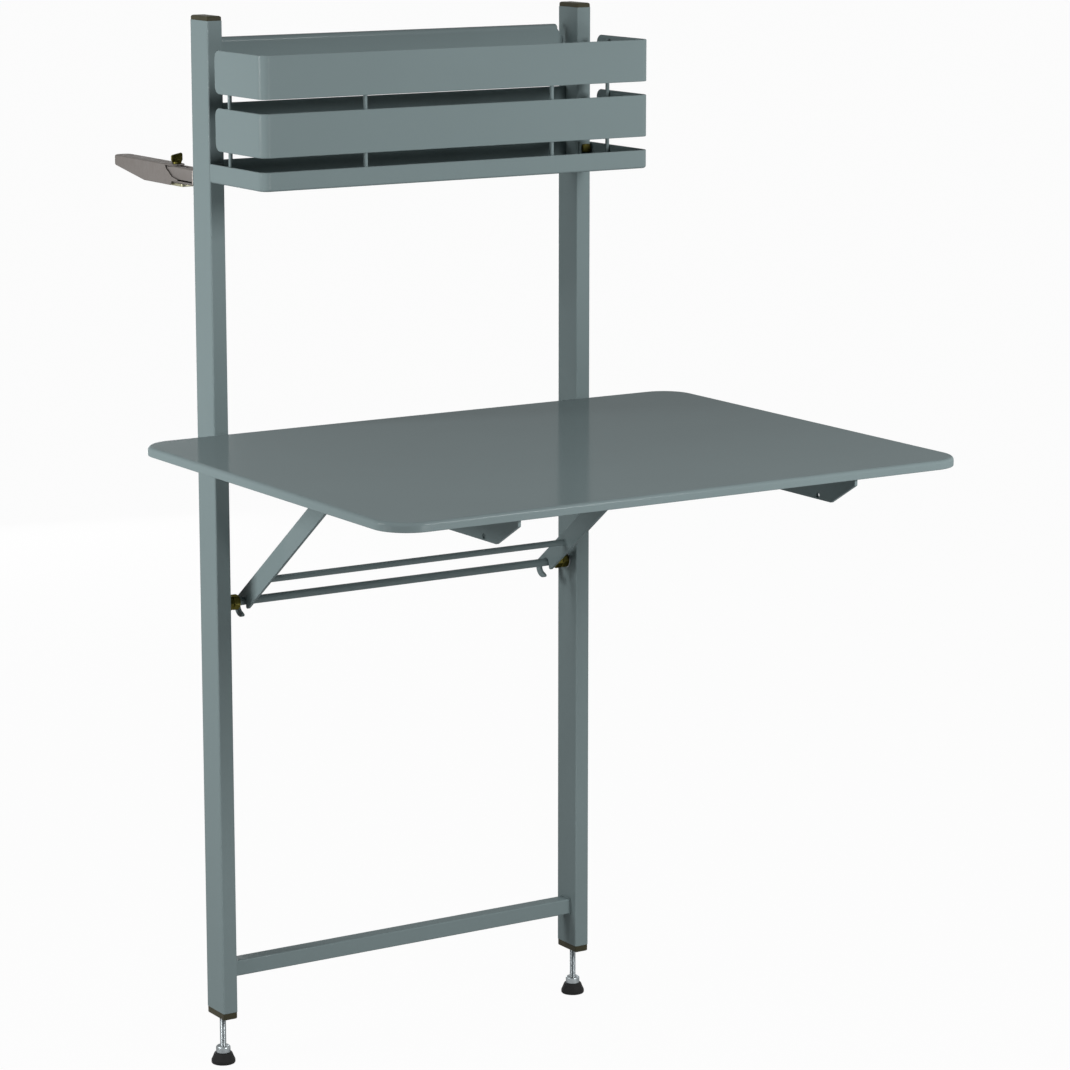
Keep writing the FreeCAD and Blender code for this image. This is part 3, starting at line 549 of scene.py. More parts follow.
def from_bar(start, length, flats, sides, centre, axis, bore=0.0, turn=0.0, around=72):
    """A nut or a head from hexagonal or square bar, with a corner at the angle of turn. The
    bar's radius is half its flats over the cosine of the angle from the nearest flat's
    middle; the cone's grows from each face inwards."""
    angle = round_angle(around)
    sector = np.mod(angle - turn, 2 * np.pi / sides) - np.pi / sides
    bar = flats / 2 / np.cos(sector)
    steps = np.array([0, 0.04, 0.1, 0.2]) * flats / 2
    reach = np.concatenate([steps, length - steps[::-1]])[:, None]
    cone = flats / 2 * CONE_SHARE + np.minimum(reach, length - reach) * CONE_SLOPE
    outside = np.minimum(bar, cone)
    radius = np.concatenate([np.full_like(angle, bore), outside, np.full_like(angle, bore)])
    return about(radius, angle, start + np.concatenate([[[0.0]], reach, [[length]]]), centre, axis)


def threaded(start, end, radius, pitch, centre, axis="Z", around=24, per_pitch=6):
    """A screw thread: the radius drops in a triangle wave of the distance less the turn."""
    reach = np.arange(start, end, pitch / per_pitch)[:, None]
    angle = round_angle(around)
    wave = np.abs(2 * np.mod(reach / pitch - angle / (2 * np.pi), 1.0) - 1)
    ridge = radius - pitch * THREAD_DEPTH * np.clip(wave * RIDGE_SLOPE - RIDGE_FLAT, 0, 1)
    return about(ridge, angle, reach, centre, axis)


# %% [markdown]
# The tabletop
#
# The real top is one steel sheet whose rim is turned down, with generous corners and a soft
# roll where the top meets the lip. A subdivided cube would round the corners unevenly, so
# the rim is a profile of insets and heights, carried round the plan outline.

# %% Tabletop
TABLE_LOW = np.array([-0.385, -0.6445])
TABLE_HIGH = np.array([0.385, -0.042])
TABLE_TOP = 0.802
TABLE_CORNER = 0.042
TABLE_SHEET = 0.002
TABLE_LIP = 0.011
TABLE_ROLL = 0.0045
TABLE_HEM = 0.0009


def table_profile():
    """Pairs of inset and height: over the roll, down the lip, round its hem and back under."""
    foot = TABLE_TOP - TABLE_LIP
    roll = arc((TABLE_ROLL, TABLE_TOP - TABLE_ROLL), TABLE_ROLL, 90, 180, 8)
    hem = np.concatenate([arc((TABLE_HEM, foot + TABLE_HEM), TABLE_HEM, 180, 270, 3),
                          arc((TABLE_SHEET - TABLE_HEM, foot + TABLE_HEM), TABLE_HEM, 270, 360, 3)])
    inner_roll = arc((TABLE_ROLL, TABLE_TOP - TABLE_ROLL), TABLE_ROLL - TABLE_SHEET, 180, 90, 5)
    return np.concatenate([roll, hem, inner_roll])


def table_ring(inward, height):
    """The plan outline inset, with a corner radius less the inset, at a height."""
    flat = rounded_rectangle(TABLE_LOW + inward, TABLE_HIGH - inward, TABLE_CORNER - inward, 24)
    return stand(flat, height, "Z")


table_rings = [table_ring(*pair) for pair in table_profile()]
add_piece("tabletop_sheet", shell(table_rings), "table", "tabletop")

# %% [markdown]
# Posts, caps and plugs
#
# Steel tube has a small corner radius that catches a thin line of light along its whole
# length. A Bevel modifier on a box would do, but one rounded outline, stacked at heights
# with an inset for each, also serves the end caps and the plugs that the feet screw into.

# %% Posts and their ends
POST_X = 0.26
POST_HALF = np.array([0.01, 0.022])
POST_LOW, POST_HIGH = 0.07, 1.292
POST_CORNER = 0.0021
CAP_TOP = 1.2975
PLUG_FOOT = 0.0615
POST_LEVELS = ((POST_LOW, 0.0003), (POST_LOW + 0.0003, 0), (POST_HIGH - 0.0003, 0),
               (POST_HIGH, 0.0003))
CAP_LEVELS = ((POST_HIGH - 0.001, 0.0004), (CAP_TOP - 0.002, 0.0004), (CAP_TOP - 0.0012, 0.0007),
              (CAP_TOP - 0.0005, 0.0014), (CAP_TOP - 0.0001, 0.0024), (CAP_TOP, 0.0034))
PLUG_LEVELS = ((PLUG_FOOT, 0.0016), (PLUG_FOOT + 0.0004, 0.0009), (PLUG_FOOT + 0.0013, 0.0004),
               (POST_LOW + 0.001, 0.0004))


def left_upright(levels):
    """A rounded rectangle about the left post, stacked at pairs of height and inset."""
    rings = []
    for height, inward in levels:
        half, middle = POST_HALF - inward, np.array([-POST_X, 0])
        flat = rounded_rectangle(middle - half, middle + half, POST_CORNER - inward / 3)
        rings.append(stand(flat, height, "Z"))
    return shell(rings)


add_sides(("*_post_tube", left_upright(POST_LEVELS), "frame", "*_post"),
          ("*_end_cap", left_upright(CAP_LEVELS), "frame", "*_post_cap"),
          ("*_threaded_plug", left_upright(PLUG_LEVELS), "frame", "*_post_insert"))

# %% [markdown]
# The crossbar and its welds
#
# The square crossbar is welded between the posts. A weld leaves a thin bead whose width
# wavers, and the paint runs over it. The bead is a small circle carried round the bar's
# outline, with its radius wavering as two sines of the distance.

# %% Crossbar
BAR_LOW, BAR_HALF = 0.112, 0.01
BAR_CORNER = 0.0018
FACE_X = POST_X - POST_HALF[0]
BEAD = 0.0014


def bar_outline(steps):
    """The bar's square section in the YZ plane."""
    return rounded_rectangle((-BAR_HALF, BAR_LOW), (BAR_HALF, BAR_LOW + 2 * BAR_HALF),
                             BAR_CORNER, steps)


def weld_bead(outline, place):
    """A wavering circle about each outline point, outwards by its cosine and along X by its
    sine. The last circle is joined to the first one."""
    step = np.arange(len(outline))
    size = (BEAD + 0.0002 * np.sin(step * 1.9) + 0.0001 * np.sin(step * 5.3))[:, None]
    away = unit(outline - outline.mean(axis=0))
    turn = round_angle(10)
    rings = np.empty((len(outline), turn.size, 3))
    rings[..., 0] = place + size * np.sin(turn)
    rings[..., 1:] = outline[:, None, :] + away[:, None, :] * (size * np.cos(turn))[..., None]
    points = rings.reshape(-1, 3)
    return points, (np.array(ring_quads(len(outline) + 1, turn.size)) % len(points)).tolist()


bar_rings = [stand(bar_outline(6), x, "X") for x in (-FACE_X, FACE_X)]
coarse = bar_outline(2)
dense = np.concatenate([np.linspace(here, there, 9)[:-1]
                        for here, there in zip(coarse, np.roll(coarse, -1, axis=0))])
add_piece("crossbar_tube", together(shell(bar_rings), both(weld_bead(dense, -FACE_X + 0.0004))),
          "frame", "crossbar")

# %% [markdown]
# Screw feet
#
# A levelling foot is a rubber pad, a plated collar and a threaded stud. Pad and collar are
# turned profiles. The thread is a surface too: its radius follows a triangle wave of the
# height less the turn, so the ridge climbs one pitch for each time round.

# %% Feet
PAD_PROFILE = ((0, 0), (0.013, 0), (0.0144, 0.0004), (0.015, 0.0014), (0.015, 0.004),
               (0.0148, 0.005), (0.014, 0.0066), (0.0125, 0.01), (0.0117, 0.0122),
               (0.0109, 0.0136), (0.0098, 0.014), (0, 0.014))
COLLAR_PROFILE = ((0, 0.0139), (0.0084, 0.0139), (0.009, 0.0145), (0.009, 0.0206),
                  (0.0087, 0.0213), (0.0079, 0.0222), (0.0074, 0.0225), (0.0068, 0.0223),
                  (0.0054, 0.0212), (0, 0.021))
STUD_RADIUS = 0.004
THREAD_PITCH = 0.00125
STUD_LOW, STUD_HIGH = 0.02, 0.116

for side, place in (("left", -POST_X), ("right", POST_X)):
    foot = (place, 0, 0)
    body = side + "_foot"
    add_piece(side + "_rubber_pad", turned(PAD_PROFILE, foot), body, body + "_pad")
    add_piece(side + "_plated_collar", turned(COLLAR_PROFILE, foot), body, body + "_collar")
    stud = threaded(STUD_LOW, STUD_HIGH, STUD_RADIUS, THREAD_PITCH, foot)
    add_piece(side + "_threaded_stud", stud, body, body + "_stud")

# %% [markdown]
# Rods with their nuts, washers and sleeves
#
# A rod runs from post to post below the table, where the struts' claws rest on it, and a
# second one carries the table's rails. Each has a washer and a nut at each post, and the
# lower rod a second nut that locks the first. Sleeves on the upper rod keep the rails in
# their places.

# %% Rods
LOWER_ROD_Z, HINGE_Z = 0.585, 0.77
ROD_RADIUS, ROD_REACH = 0.005, 0.262
WASHER_RADIUS, WASHER_THICK = 0.01, 0.002
NUT_FLATS, NUT_LONG, LOCK_TURN = 0.017, 0.009, math.radians(8)
NUT_FROM = -FACE_X + WASHER_THICK
NUT_TO = NUT_FROM + NUT_LONG
ROD_EDGE = 0.0004
SLEEVE_RADIUS, RAIL_OUTSIDE = 0.008, 0.228


def ring_profile(start, end, bore, radius, edge=0.0003):
    """A bar with softened ends, or a washer or sleeve whose bore is hidden on its rod."""
    return ((bore, start), (radius - edge, start), (radius, start + edge), (radius, end - edge),
            (radius - edge, end), (bore, end))


for name, height in (("lower_rod", LOWER_ROD_Z), ("hinge_rod", HINGE_Z)):
    centre = (0, 0, height)
    bar = turned(ring_profile(-ROD_REACH, ROD_REACH, 0, ROD_RADIUS, ROD_EDGE), centre, "X", 32)
    add_piece(name + "_bar", bar, "frame", name)
    disc = turned(ring_profile(-FACE_X, NUT_FROM, ROD_RADIUS, WASHER_RADIUS), centre, "X")
    add_piece(name + "_discs", both(disc), "frame", name + "_washers")
    nut = from_bar(NUT_FROM, NUT_LONG, NUT_FLATS, 6, centre, "X", ROD_RADIUS)
    if name == "lower_rod":
        nut = together(nut, from_bar(NUT_TO, NUT_LONG, NUT_FLATS, 6, centre, "X", ROD_RADIUS,
                                     LOCK_TURN))
    add_piece(name + "_hexagons", both(nut), "frame", name + "_nuts")

sleeve_profile = ring_profile(NUT_TO, -RAIL_OUTSIDE - 0.0001, ROD_RADIUS, SLEEVE_RADIUS)
sleeve = turned(sleeve_profile, (0, 0, HINGE_Z), "X")
add_piece("hinge_sleeves", both(sleeve), "frame", "hinge_spacers")

# %% [markdown]
# The rails under the table
#
# A rail is a plate on edge. Its rear end is an eye on the upper rod, its front end slopes up
# to the lip, and a small hole near the front takes the catch for the folded struts. A plate
# needs only its outline, so arcs and rounded corners are enough.

# %% Rails
RAIL_THICK = 0.004
RAIL_EDGE = 0.0005
RAIL_TOP, RAIL_LOW = 0.8, 0.757
EYE_RADIUS = HINGE_Z - RAIL_LOW
CATCH = (-0.57, 0.762)
CATCH_RADIUS = 0.003

# The outline is the eye's half circle, the upper edge to the front and the lower edge back.
eye = arc((0, HINGE_Z), EYE_RADIUS, -90, 90, 16)
front = softened([(0, 0.783), (-0.042, 0.786), (-0.052, RAIL_TOP), (-0.64, RAIL_TOP),
                  (-0.64, 0.7835), (-0.595, RAIL_LOW), (0, RAIL_LOW)],
                 [0, 0.002, 0.002, 0.001, 0.002, 0.002, 0])
rail_loops = [np.concatenate([eye, front[1:-1]]), arc(CATCH, CATCH_RADIUS, 360, 0, 20)[:-1]]
rail = plate(rail_loops, -RAIL_OUTSIDE, RAIL_THICK, RAIL_EDGE, "X")
add_sides(("*_rail_plate", rail, "table", "*_rail"))

# %% [markdown]
# Struts with claws
#
# A strut is a flat bar from a pivot on the rail down to the lower rod. Its lower end is a
# claw with a round seat for the rod, a wider bay beside it and a mouth that opens downwards,
# so that the table can be lifted off and swung. The outline is drawn along the bar, with the
# rod at the origin and the pivot at minus the bar's length, and then turned into place.

# %% Struts
STRUT_INSIDE, STRUT_THICK, STRUT_HALF = 0.222, 0.004, 0.0125
PIVOT = np.array([-0.252, 0.778])
ROD_SPOT = np.array([0.0, LOWER_ROD_Z])
SEAT_RADIUS = 0.00545
BAY, BAY_RADIUS = (0.0102, -0.002), 0.0082
CLAW, CLAW_RADIUS = (0.014, -0.0005), 0.013
LIP, TIP = (0.0007, -STRUT_HALF), (0.01378, -0.01327)
TIE_BACK, TIE_RADIUS = 0.0435, 0.004


def strut_outline(length):
    """Lower edge, lip, seat, bay, hook tip, claw's back, upper edge and the round pivot end."""
    seat = arc((0, 0), SEAT_RADIUS, 209, 90, 14)
    bay = arc(BAY, BAY_RADIUS, 90, -44, 16)
    back = arc(CLAW, CLAW_RADIUS, -78, 90, 20)
    end = arc((-length, 0), STRUT_HALF, 90, 270, 18)
    corners = np.concatenate([end, [LIP], seat, bay, [TIP], back])
    radii = np.zeros(len(corners))
    radii[len(end)] = 0.0026
    radii[len(end) + 1 + len(seat) + len(bay)] = 0.0018
    return softened(corners, radii)


along = unit(ROD_SPOT - PIVOT)
up = np.array([-along[1], along[0]])
drawn = strut_outline(np.linalg.norm(ROD_SPOT - PIVOT))
placed = ROD_SPOT + drawn[:, :1] * along + drawn[:, 1:] * up
strut = plate([placed], -STRUT_INSIDE, STRUT_THICK, 0.0005, "X")
add_sides(("*_strut_bar", strut, "strut_frame", "*_strut"))

tie_share = TIE_BACK / -PIVOT[0]
tie_centre = (0, -TIE_BACK, LOWER_ROD_Z + tie_share * (PIVOT[1] - LOWER_ROD_Z))
tie_reach = STRUT_INSIDE - STRUT_THICK
tie_profile = ring_profile(-tie_reach, tie_reach, 0, TIE_RADIUS, ROD_EDGE)
weld_profile = ((0, -tie_reach), (TIE_RADIUS + 0.0016, -tie_reach),
                (TIE_RADIUS + 0.0011, -tie_reach + 0.0007),
                (TIE_RADIUS + 0.0002, -tie_reach + 0.0019), (0, -tie_reach + 0.002))
tie, tie_weld = (turned(profile, tie_centre, "X", 32) for profile in (tie_profile, weld_profile))
add_piece("tie_rod_bar", together(tie, both(tie_weld)), "strut_frame", "tie_rod")

# %% [markdown]
# Pivot bolts
#
# Each strut turns on a bolt through the rail, with a domed head outside, a washer between
# the two plates and a nut inside, beyond which the thread shows for two or three turns.

# %% Pivots
PIVOT_CENTRE = (0, PIVOT[0], PIVOT[1])
PIVOT_RADIUS = 0.004
HEAD_PROFILE = ((0, -0.005), (0.0026, -0.0049), (0.0046, -0.0043), (0.0058, -0.0032),
                (0.0064, -0.0018), (0.0065, -0.0004), (0.0065, 0), (PIVOT_RADIUS, 0),
                (PIVOT_RADIUS, 0.01), (0, 0.01))
BOLT_NUT_FLATS, BOLT_NUT_LONG, BOLT_TAIL = 0.013, 0.0065, 0.0025

bolt_head = turned([(radius, reach - RAIL_OUTSIDE) for radius, reach in HEAD_PROFILE],
                   PIVOT_CENTRE, "X")
tail_from = -tie_reach + BOLT_NUT_LONG - 0.001
bolt_tail = threaded(tail_from, tail_from + 0.001 + BOLT_TAIL, PIVOT_RADIUS, THREAD_PITCH,
                     PIVOT_CENTRE, "X")
add_piece("pivot_bolts", both(together(bolt_head, bolt_tail)), "table", "strut_pivot_bolts")
gap_profile = ring_profile(-RAIL_OUTSIDE + RAIL_THICK, -STRUT_INSIDE, PIVOT_RADIUS, 0.008)
pivot_disc = turned(gap_profile, PIVOT_CENTRE, "X")
add_piece("pivot_discs", both(pivot_disc), "table", "strut_pivot_washers")
pivot_nut = from_bar(-tie_reach, BOLT_NUT_LONG, BOLT_NUT_FLATS, 6, PIVOT_CENTRE, "X", PIVOT_RADIUS)
add_piece("pivot_hexagons", both(pivot_nut), "table", "strut_pivot_nuts")

# %% [markdown]
# The shelf's guards
#
# Each guard is a strip of sheet bent round the shelf's front corners, with rounded rear
# ends. The strip's section is a thin rectangle with its edges taken off. It is carried along
# the plan path, and near the two ends its height shrinks along a quarter circle, which gives
# the rounded corners without any cutting.

# %% Guards
SHELF_X, SHELF_FRONT = 0.27, -0.154
SHEET = 0.002
SHELF_CORNER = 0.011
BEND_CENTRE = (-SHELF_X + SHELF_CORNER, SHELF_FRONT + SHELF_CORNER)
BAND_BACK, BAND_TALL, BAND_ROUND, BAND_SPACE = -0.039, 0.051, 0.009, 0.0165
TRAY_LOW, TRAY_TALL = 1.1016, 0.0225
MIDDLE_LOW = TRAY_LOW + TRAY_TALL + BAND_SPACE
UPPER_LOW = MIDDLE_LOW + BAND_TALL + BAND_SPACE
SOFT = 0.0006


def there_and_back(half, signs=(-1, 1)):
    """Rows up to the middle, and the same rows back again on the other side."""
    return np.concatenate([half, np.array(half)[::-1] * signs])


def guard_shell(low):
    """For each path point: depth inwards from the outer face, and a height between two ends
    that close in as the radius less the root of its square less the distance's square."""
    rounding = BAND_ROUND * (1 - np.cos(np.linspace(0, np.pi / 2, 14)))
    side = np.column_stack([np.full(rounding.size, -SHELF_X), BAND_BACK - rounding])
    bend = arc(BEND_CENTRE, SHELF_CORNER, 180, 270, 14)
    path = there_and_back(np.concatenate([side, bend]))
    inside = np.zeros_like(path)
    left = path[:, 0] < 0
    centre_x = np.where(left, 1, -1) * BEND_CENTRE[0]
    turning = path[:, 1] < BEND_CENTRE[1] - MERGE
    inside[:, 0] = np.where(turning, (centre_x - path[:, 0]) / SHELF_CORNER, np.where(left, 1, -1))
    inside[:, 1] = np.where(turning, (BEND_CENTRE[1] - path[:, 1]) / SHELF_CORNER, 0)
    to_round = np.clip(BAND_ROUND - (BAND_BACK - path[:, 1]), 0, BAND_ROUND)
    short = (BAND_ROUND - np.sqrt(BAND_ROUND ** 2 - to_round ** 2))[:, None]
    depth = np.array([SOFT, SHEET - SOFT, SHEET, SHEET, SHEET - SOFT, SOFT, 0, 0])[None, :]
    top = np.array([0, 0, 0, 1, 1, 1, 1, 0])[None, :]
    lift = np.array([0, 0, SOFT, -SOFT, 0, 0, -SOFT, SOFT])[None, :]
    height = low + short + top * (BAND_TALL - 2 * short) + lift
    plan = path[:, None, :] + inside[:, None, :] * depth[..., None]
    return shell(np.concatenate([plan, height[..., None]], axis=-1))


add_piece("middle_guard", guard_shell(MIDDLE_LOW), "frame", "shelf_middle_band")
add_piece("upper_guard", guard_shell(UPPER_LOW), "frame", "shelf_upper_band")

# %% [markdown]
# Folded pans
#
# The shelf's tray is a pan folded from one sheet, and so is the channel of each railing
# hook, upside down. Both are one function: rows that go round the plan outline, each with
# the wall's height at that place and the direction towards the pan's inside. Where there is
# no wall the height is the sheet's own thickness. The rings follow the bend from below, go
# up the wall's outside, over its edge and down again inside.

# %% Pans
ROW_SIGNS = (-1, 1, 1, -1, 1)


def pan(rows, base, upwards, sheet, bend):
    """Rings round a pan. Outside the bend: inset from its radius to 0 as the height grows from
    0 to it; inside: the same with the radius less the sheet; heights stop at each row's wall."""
    plan, wall, inside = rows[:, :2], rows[:, 2], rows[:, 3:]
    raised = np.where(wall > bend, 1.0, 0.0)
    rings = []
    for depth, height in arc((bend, bend), bend, 270, 180, 6):
        rings.append((depth, np.minimum(height, wall)))
    for depth, drop in ((0, SOFT), (SOFT, 0), (sheet - SOFT, 0), (sheet, SOFT)):
        rings.append((depth, wall - drop * raised))
    for depth, height in arc((bend, bend), bend - sheet, 180, 270, 4):
        rings.append((depth, np.minimum(height, wall)))
    return shell([np.column_stack([plan + inside * depth, base + upwards * height])
                  for depth, height in rings])


def bend_rows(centre, radius, start, end, wall, steps=12):
    """Rows along an outside corner: the inside is towards the arc's centre."""
    points = arc(centre, radius, start, end, steps)
    inside = (np.array(centre) - points) / radius
    return np.column_stack([points, np.broadcast_to(wall, len(points)), inside])


# %% Tray
TRAY_REAR = -0.023
STRIP_Y = 0.004
STRIP_REACH = FACE_X - 0.0002
STRIP_OVER = 0.0015
TAB_X = SHELF_X - 0.018
TRAY_BEND = 0.003

half_tray = np.concatenate([
    [(-STRIP_REACH, STRIP_Y + SHEET, TRAY_TALL + STRIP_OVER, 0, -1),
     (-STRIP_REACH, STRIP_Y + SHEET, SHEET, 0, -1),
     (-STRIP_REACH, TRAY_REAR, SHEET, 1, -1),
     (-TAB_X, TRAY_REAR, SHEET, 0, -1),
     (-TAB_X, TRAY_REAR, TRAY_TALL, 0, -1),
     (-SHELF_X, TRAY_REAR, TRAY_TALL, 1, -1)],
    bend_rows(BEND_CENTRE, SHELF_CORNER, 180, 270, TRAY_TALL)])
tray = pan(there_and_back(half_tray, ROW_SIGNS), TRAY_LOW, 1, SHEET, TRAY_BEND)
add_piece("tray_pan", tray, "frame", "shelf_tray")

# %% [markdown]
# Spindles, back strips and shelf bolts
#
# Four thin spindles carry the guards. Behind, two strips of sheet close the shelf between
# the posts. The upper one is bent back into a narrow flange, which stops short of the posts.
# Beside it the web goes on as a flat ear whose upper corner is cut off at a slant.

# %% Spindles
SPINDLE_RADIUS, SPINDLE_TOP = 0.0025, 1.2546
SPINDLE_OFF = SHEET + SPINDLE_RADIUS + 0.0001
SPINDLE_LOW = TRAY_LOW + SHEET
spindle_profile = ((0, SPINDLE_LOW), (0.0034, SPINDLE_LOW), (0.0029, SPINDLE_LOW + 0.0006),
                   (SPINDLE_RADIUS, SPINDLE_LOW + 0.0014), (SPINDLE_RADIUS, SPINDLE_TOP - 0.0004),
                   (SPINDLE_RADIUS - 0.0005, SPINDLE_TOP), (0, SPINDLE_TOP))
spots = ((-SHELF_X + SPINDLE_OFF, -0.067, 0), (-0.13, SHELF_FRONT + SPINDLE_OFF, 0))
spindles = together(*(turned(spindle_profile, spot, "Z", 20) for spot in spots))
add_piece("guard_spindles", both(spindles), "frame", "shelf_spindles")

# %% Back strips
STRIP_TOP = 1.2706
FLANGE, STRIP_BEND = 0.01, 0.0055
FOLD_REACH = FACE_X - 0.013
EAR_TOP, EAR_SIDE, EAR_CUT = 1.2386, FACE_X - 0.004, 0.0115
HAIR = 0.00003

# The section is the web and the flange in the YZ plane, joined by a bend about one centre.
near, far, end = STRIP_Y, STRIP_Y + SHEET, STRIP_Y + FLANGE
shoulder = STRIP_TOP - STRIP_BEND
fold_centre = (near + STRIP_BEND, shoulder)
low_edge = [(near, UPPER_LOW + SOFT), (near + SOFT, UPPER_LOW), (far - SOFT, UPPER_LOW),
            (far, UPPER_LOW + SOFT)]
rear_edge = [(end - SOFT, STRIP_TOP - SHEET), (end, STRIP_TOP - SHEET + SOFT),
             (end, STRIP_TOP - SOFT), (end - SOFT, STRIP_TOP)]
section = np.concatenate([low_edge, arc(fold_centre, STRIP_BEND - SHEET, 180, 90, 6), rear_edge,
                          arc(fold_centre, STRIP_BEND, 90, 180, 8)])
fold = shell([stand(section, x, "X") for x in (-FOLD_REACH, FOLD_REACH)])
ear_outline = np.array([
    (FOLD_REACH - SHEET, UPPER_LOW), (STRIP_REACH, UPPER_LOW), (STRIP_REACH, EAR_TOP),
    (EAR_SIDE, EAR_TOP), (EAR_SIDE, shoulder - EAR_CUT), (FOLD_REACH, shoulder),
    (FOLD_REACH - SHEET, shoulder)])
ear = plate([ear_outline], STRIP_Y + HAIR, SHEET - 2 * HAIR, 0.0004, "Y")
add_piece("top_back_strip", together(fold, both(ear)), "frame", "shelf_top_strip")

middle_outline = rounded_rectangle((-STRIP_REACH, MIDDLE_LOW),
                                   (STRIP_REACH, MIDDLE_LOW + BAND_TALL + STRIP_OVER), 0.0008, 3)
middle_strip = plate([middle_outline], STRIP_Y, SHEET, SOFT, "Y")
add_piece("middle_back_strip", middle_strip, "frame", "shelf_middle_strip")

# %% Shelf bolts
BOLT_SEAT = TRAY_REAR - SHEET
BOLT_FLATS, BOLT_HEAD = 0.0105, 0.0045
bolt_centre = (-POST_X, 0, 1.1166)
square_head = from_bar(BOLT_SEAT - BOLT_HEAD, BOLT_HEAD, BOLT_FLATS, 4, bolt_centre, "Y",
                       turn=math.radians(45))
near, far = BOLT_SEAT - 0.001, BOLT_SEAT + 0.014
bolt_shank = turned(((0, near), (0.003, near), (0.003, far), (0, far)), bolt_centre, "Y", 24)
add_piece("square_bolts", both(together(square_head, bolt_shank)), "frame", "shelf_bolts")

# %% [markdown]
# Bracket arms
#
# Behind each post a square tube reaches towards the railing. It has a long slot above and
# below for the wing screw and a narrow slit in its outer side. The tube is made as a flat
# pattern: an outline with notches and holes in distance round the tube and distance along
# it. The pattern is cut along each fold line, wrapped round the tube's section, and a
# Solidify modifier gives the wall its thickness.

# %% Wrapped sheets


def distances(path):
    """How far along a path each of its points is."""
    return np.concatenate([[0], np.cumsum(np.linalg.norm(np.diff(path, axis=0), axis=1))])


def wrapped(loops, path):
    """Flat points (distance along a path, y) laid on the path: x and z are read from the path
    at that distance, after the pattern's faces have been cut at each of the path's points."""
    lengths = distances(path)
    lengths -= lengths[-1] / 2
    work = bmesh.new()
    spots = [work.verts.new((point[0], point[1], 0)) for point in np.concatenate(loops)]
    for face in filled(loops):
        work.faces.new([spots[index] for index in face])
    for length in lengths[1:-1]:
        everything = work.verts[:] + work.edges[:] + work.faces[:]
        bmesh.ops.bisect_plane(work, geom=everything, plane_co=(length, 0, 0), plane_no=(1, 0, 0),
                               dist=MERGE)
    work.verts.index_update()
    flat = np.array([spot.co for spot in work.verts])
    faces = [[spot.index for spot in face.verts] for face in work.faces]
    work.free()
    x = np.interp(flat[:, 0], lengths, path[:, 0])
    z = np.interp(flat[:, 0], lengths, path[:, 1])
    return np.stack([x, flat[:, 1], z], axis=1), faces


# %% Arms
ARM_HALF, ARM_LOW, ARM_NEAR, ARM_FAR, ARM_WALL = 0.01, 1.0935, 0.022, 0.15, 0.0015
ARM_CORNER, ARM_STEPS = 0.0026, 5
SLOT_NEAR, SLOT_FAR, SLOT_HALF = 0.047, 0.127, 0.0035
SLIT_LOW, SLIT_TALL, SLIT_NEAR = 1.0967, 0.002, 0.024


def arm_path(x):
    """The tube's section from the middle of its underside, up the left side and round again."""
    box = rounded_rectangle((x - ARM_HALF, ARM_LOW), (x + ARM_HALF, ARM_LOW + 2 * ARM_HALF),
                            ARM_CORNER, ARM_STEPS)
    below = np.array([[x, ARM_LOW]])
    return np.concatenate([below, box[::-1], below])


def arm_loops(path):
    """The pattern. Notches at both long edges are the lower slot, a hole in the middle is the
    upper one, and a narrow one the slit."""
    edge = distances(path)[-1] / 2
    notch = [(edge, SLOT_NEAR), (edge - SLOT_HALF, SLOT_NEAR), (edge - SLOT_HALF, SLOT_FAR),
             (edge, SLOT_FAR)]
    outline = there_and_back([(edge, ARM_NEAR), *notch, (edge, ARM_FAR)])
    upper = rounded_rectangle((-SLOT_HALF, SLOT_NEAR), (SLOT_HALF, SLOT_FAR),
                              SLOT_HALF - 0.0001, 6)[::-1]
    corner = distances(arc((0, 0), ARM_CORNER, 0, 90, ARM_STEPS))[-1]
    slit_from = -edge + ARM_HALF - ARM_CORNER + corner + SLIT_LOW - ARM_LOW - ARM_CORNER
    slit_to = slit_from + SLIT_TALL
    slit = np.array([(slit_from, SLIT_NEAR), (slit_from, SLOT_FAR), (slit_to, SLOT_FAR),
                     (slit_to, SLIT_NEAR)])
    return [outline, upper, slit]


left_path = arm_path(-POST_X)
left_arm = wrapped(arm_loops(left_path), left_path)
for tube in add_sides(("*_bracket_tube", left_arm, "frame", "*_bracket_arm")):
    wall = tube.modifiers.new("wall", "SOLIDIFY")
    wall.thickness = ARM_WALL
    wall.offset = -1.0
    wall.use_even_offset = True
    tube.modifiers.move(len(tube.modifiers) - 1, 0)

# %% [markdown]
# Hook channels, clamp blocks and wing screws
#
# The channel that hooks over the railing slides on the arm. Its far part is a pan upside
# down, with walls that get lower towards the far end. At its near end the top ends in a
# round tongue under the wing screw, and each side runs on as a pointed tip.

# %% Channels
HOOK_HALF, HOOK_TOP, HOOK_SHEET = 0.012, 1.1152, 0.0015
HOOK_BEND = 0.0022
WEB_NEAR, HOOK_KNEE, HOOK_FAR = 0.091, 0.148, 0.234
HOOK_LOW, HOOK_FAR_LOW = 1.0905, 1.104
HOOK_CORNER = 0.01
TONGUE_Y = 0.087


def hook_wall(y):
    """The wall's height: full up to the knee, then falling evenly to the far end."""
    return HOOK_TOP - np.interp(y, [HOOK_KNEE, HOOK_FAR], [HOOK_LOW, HOOK_FAR_LOW])


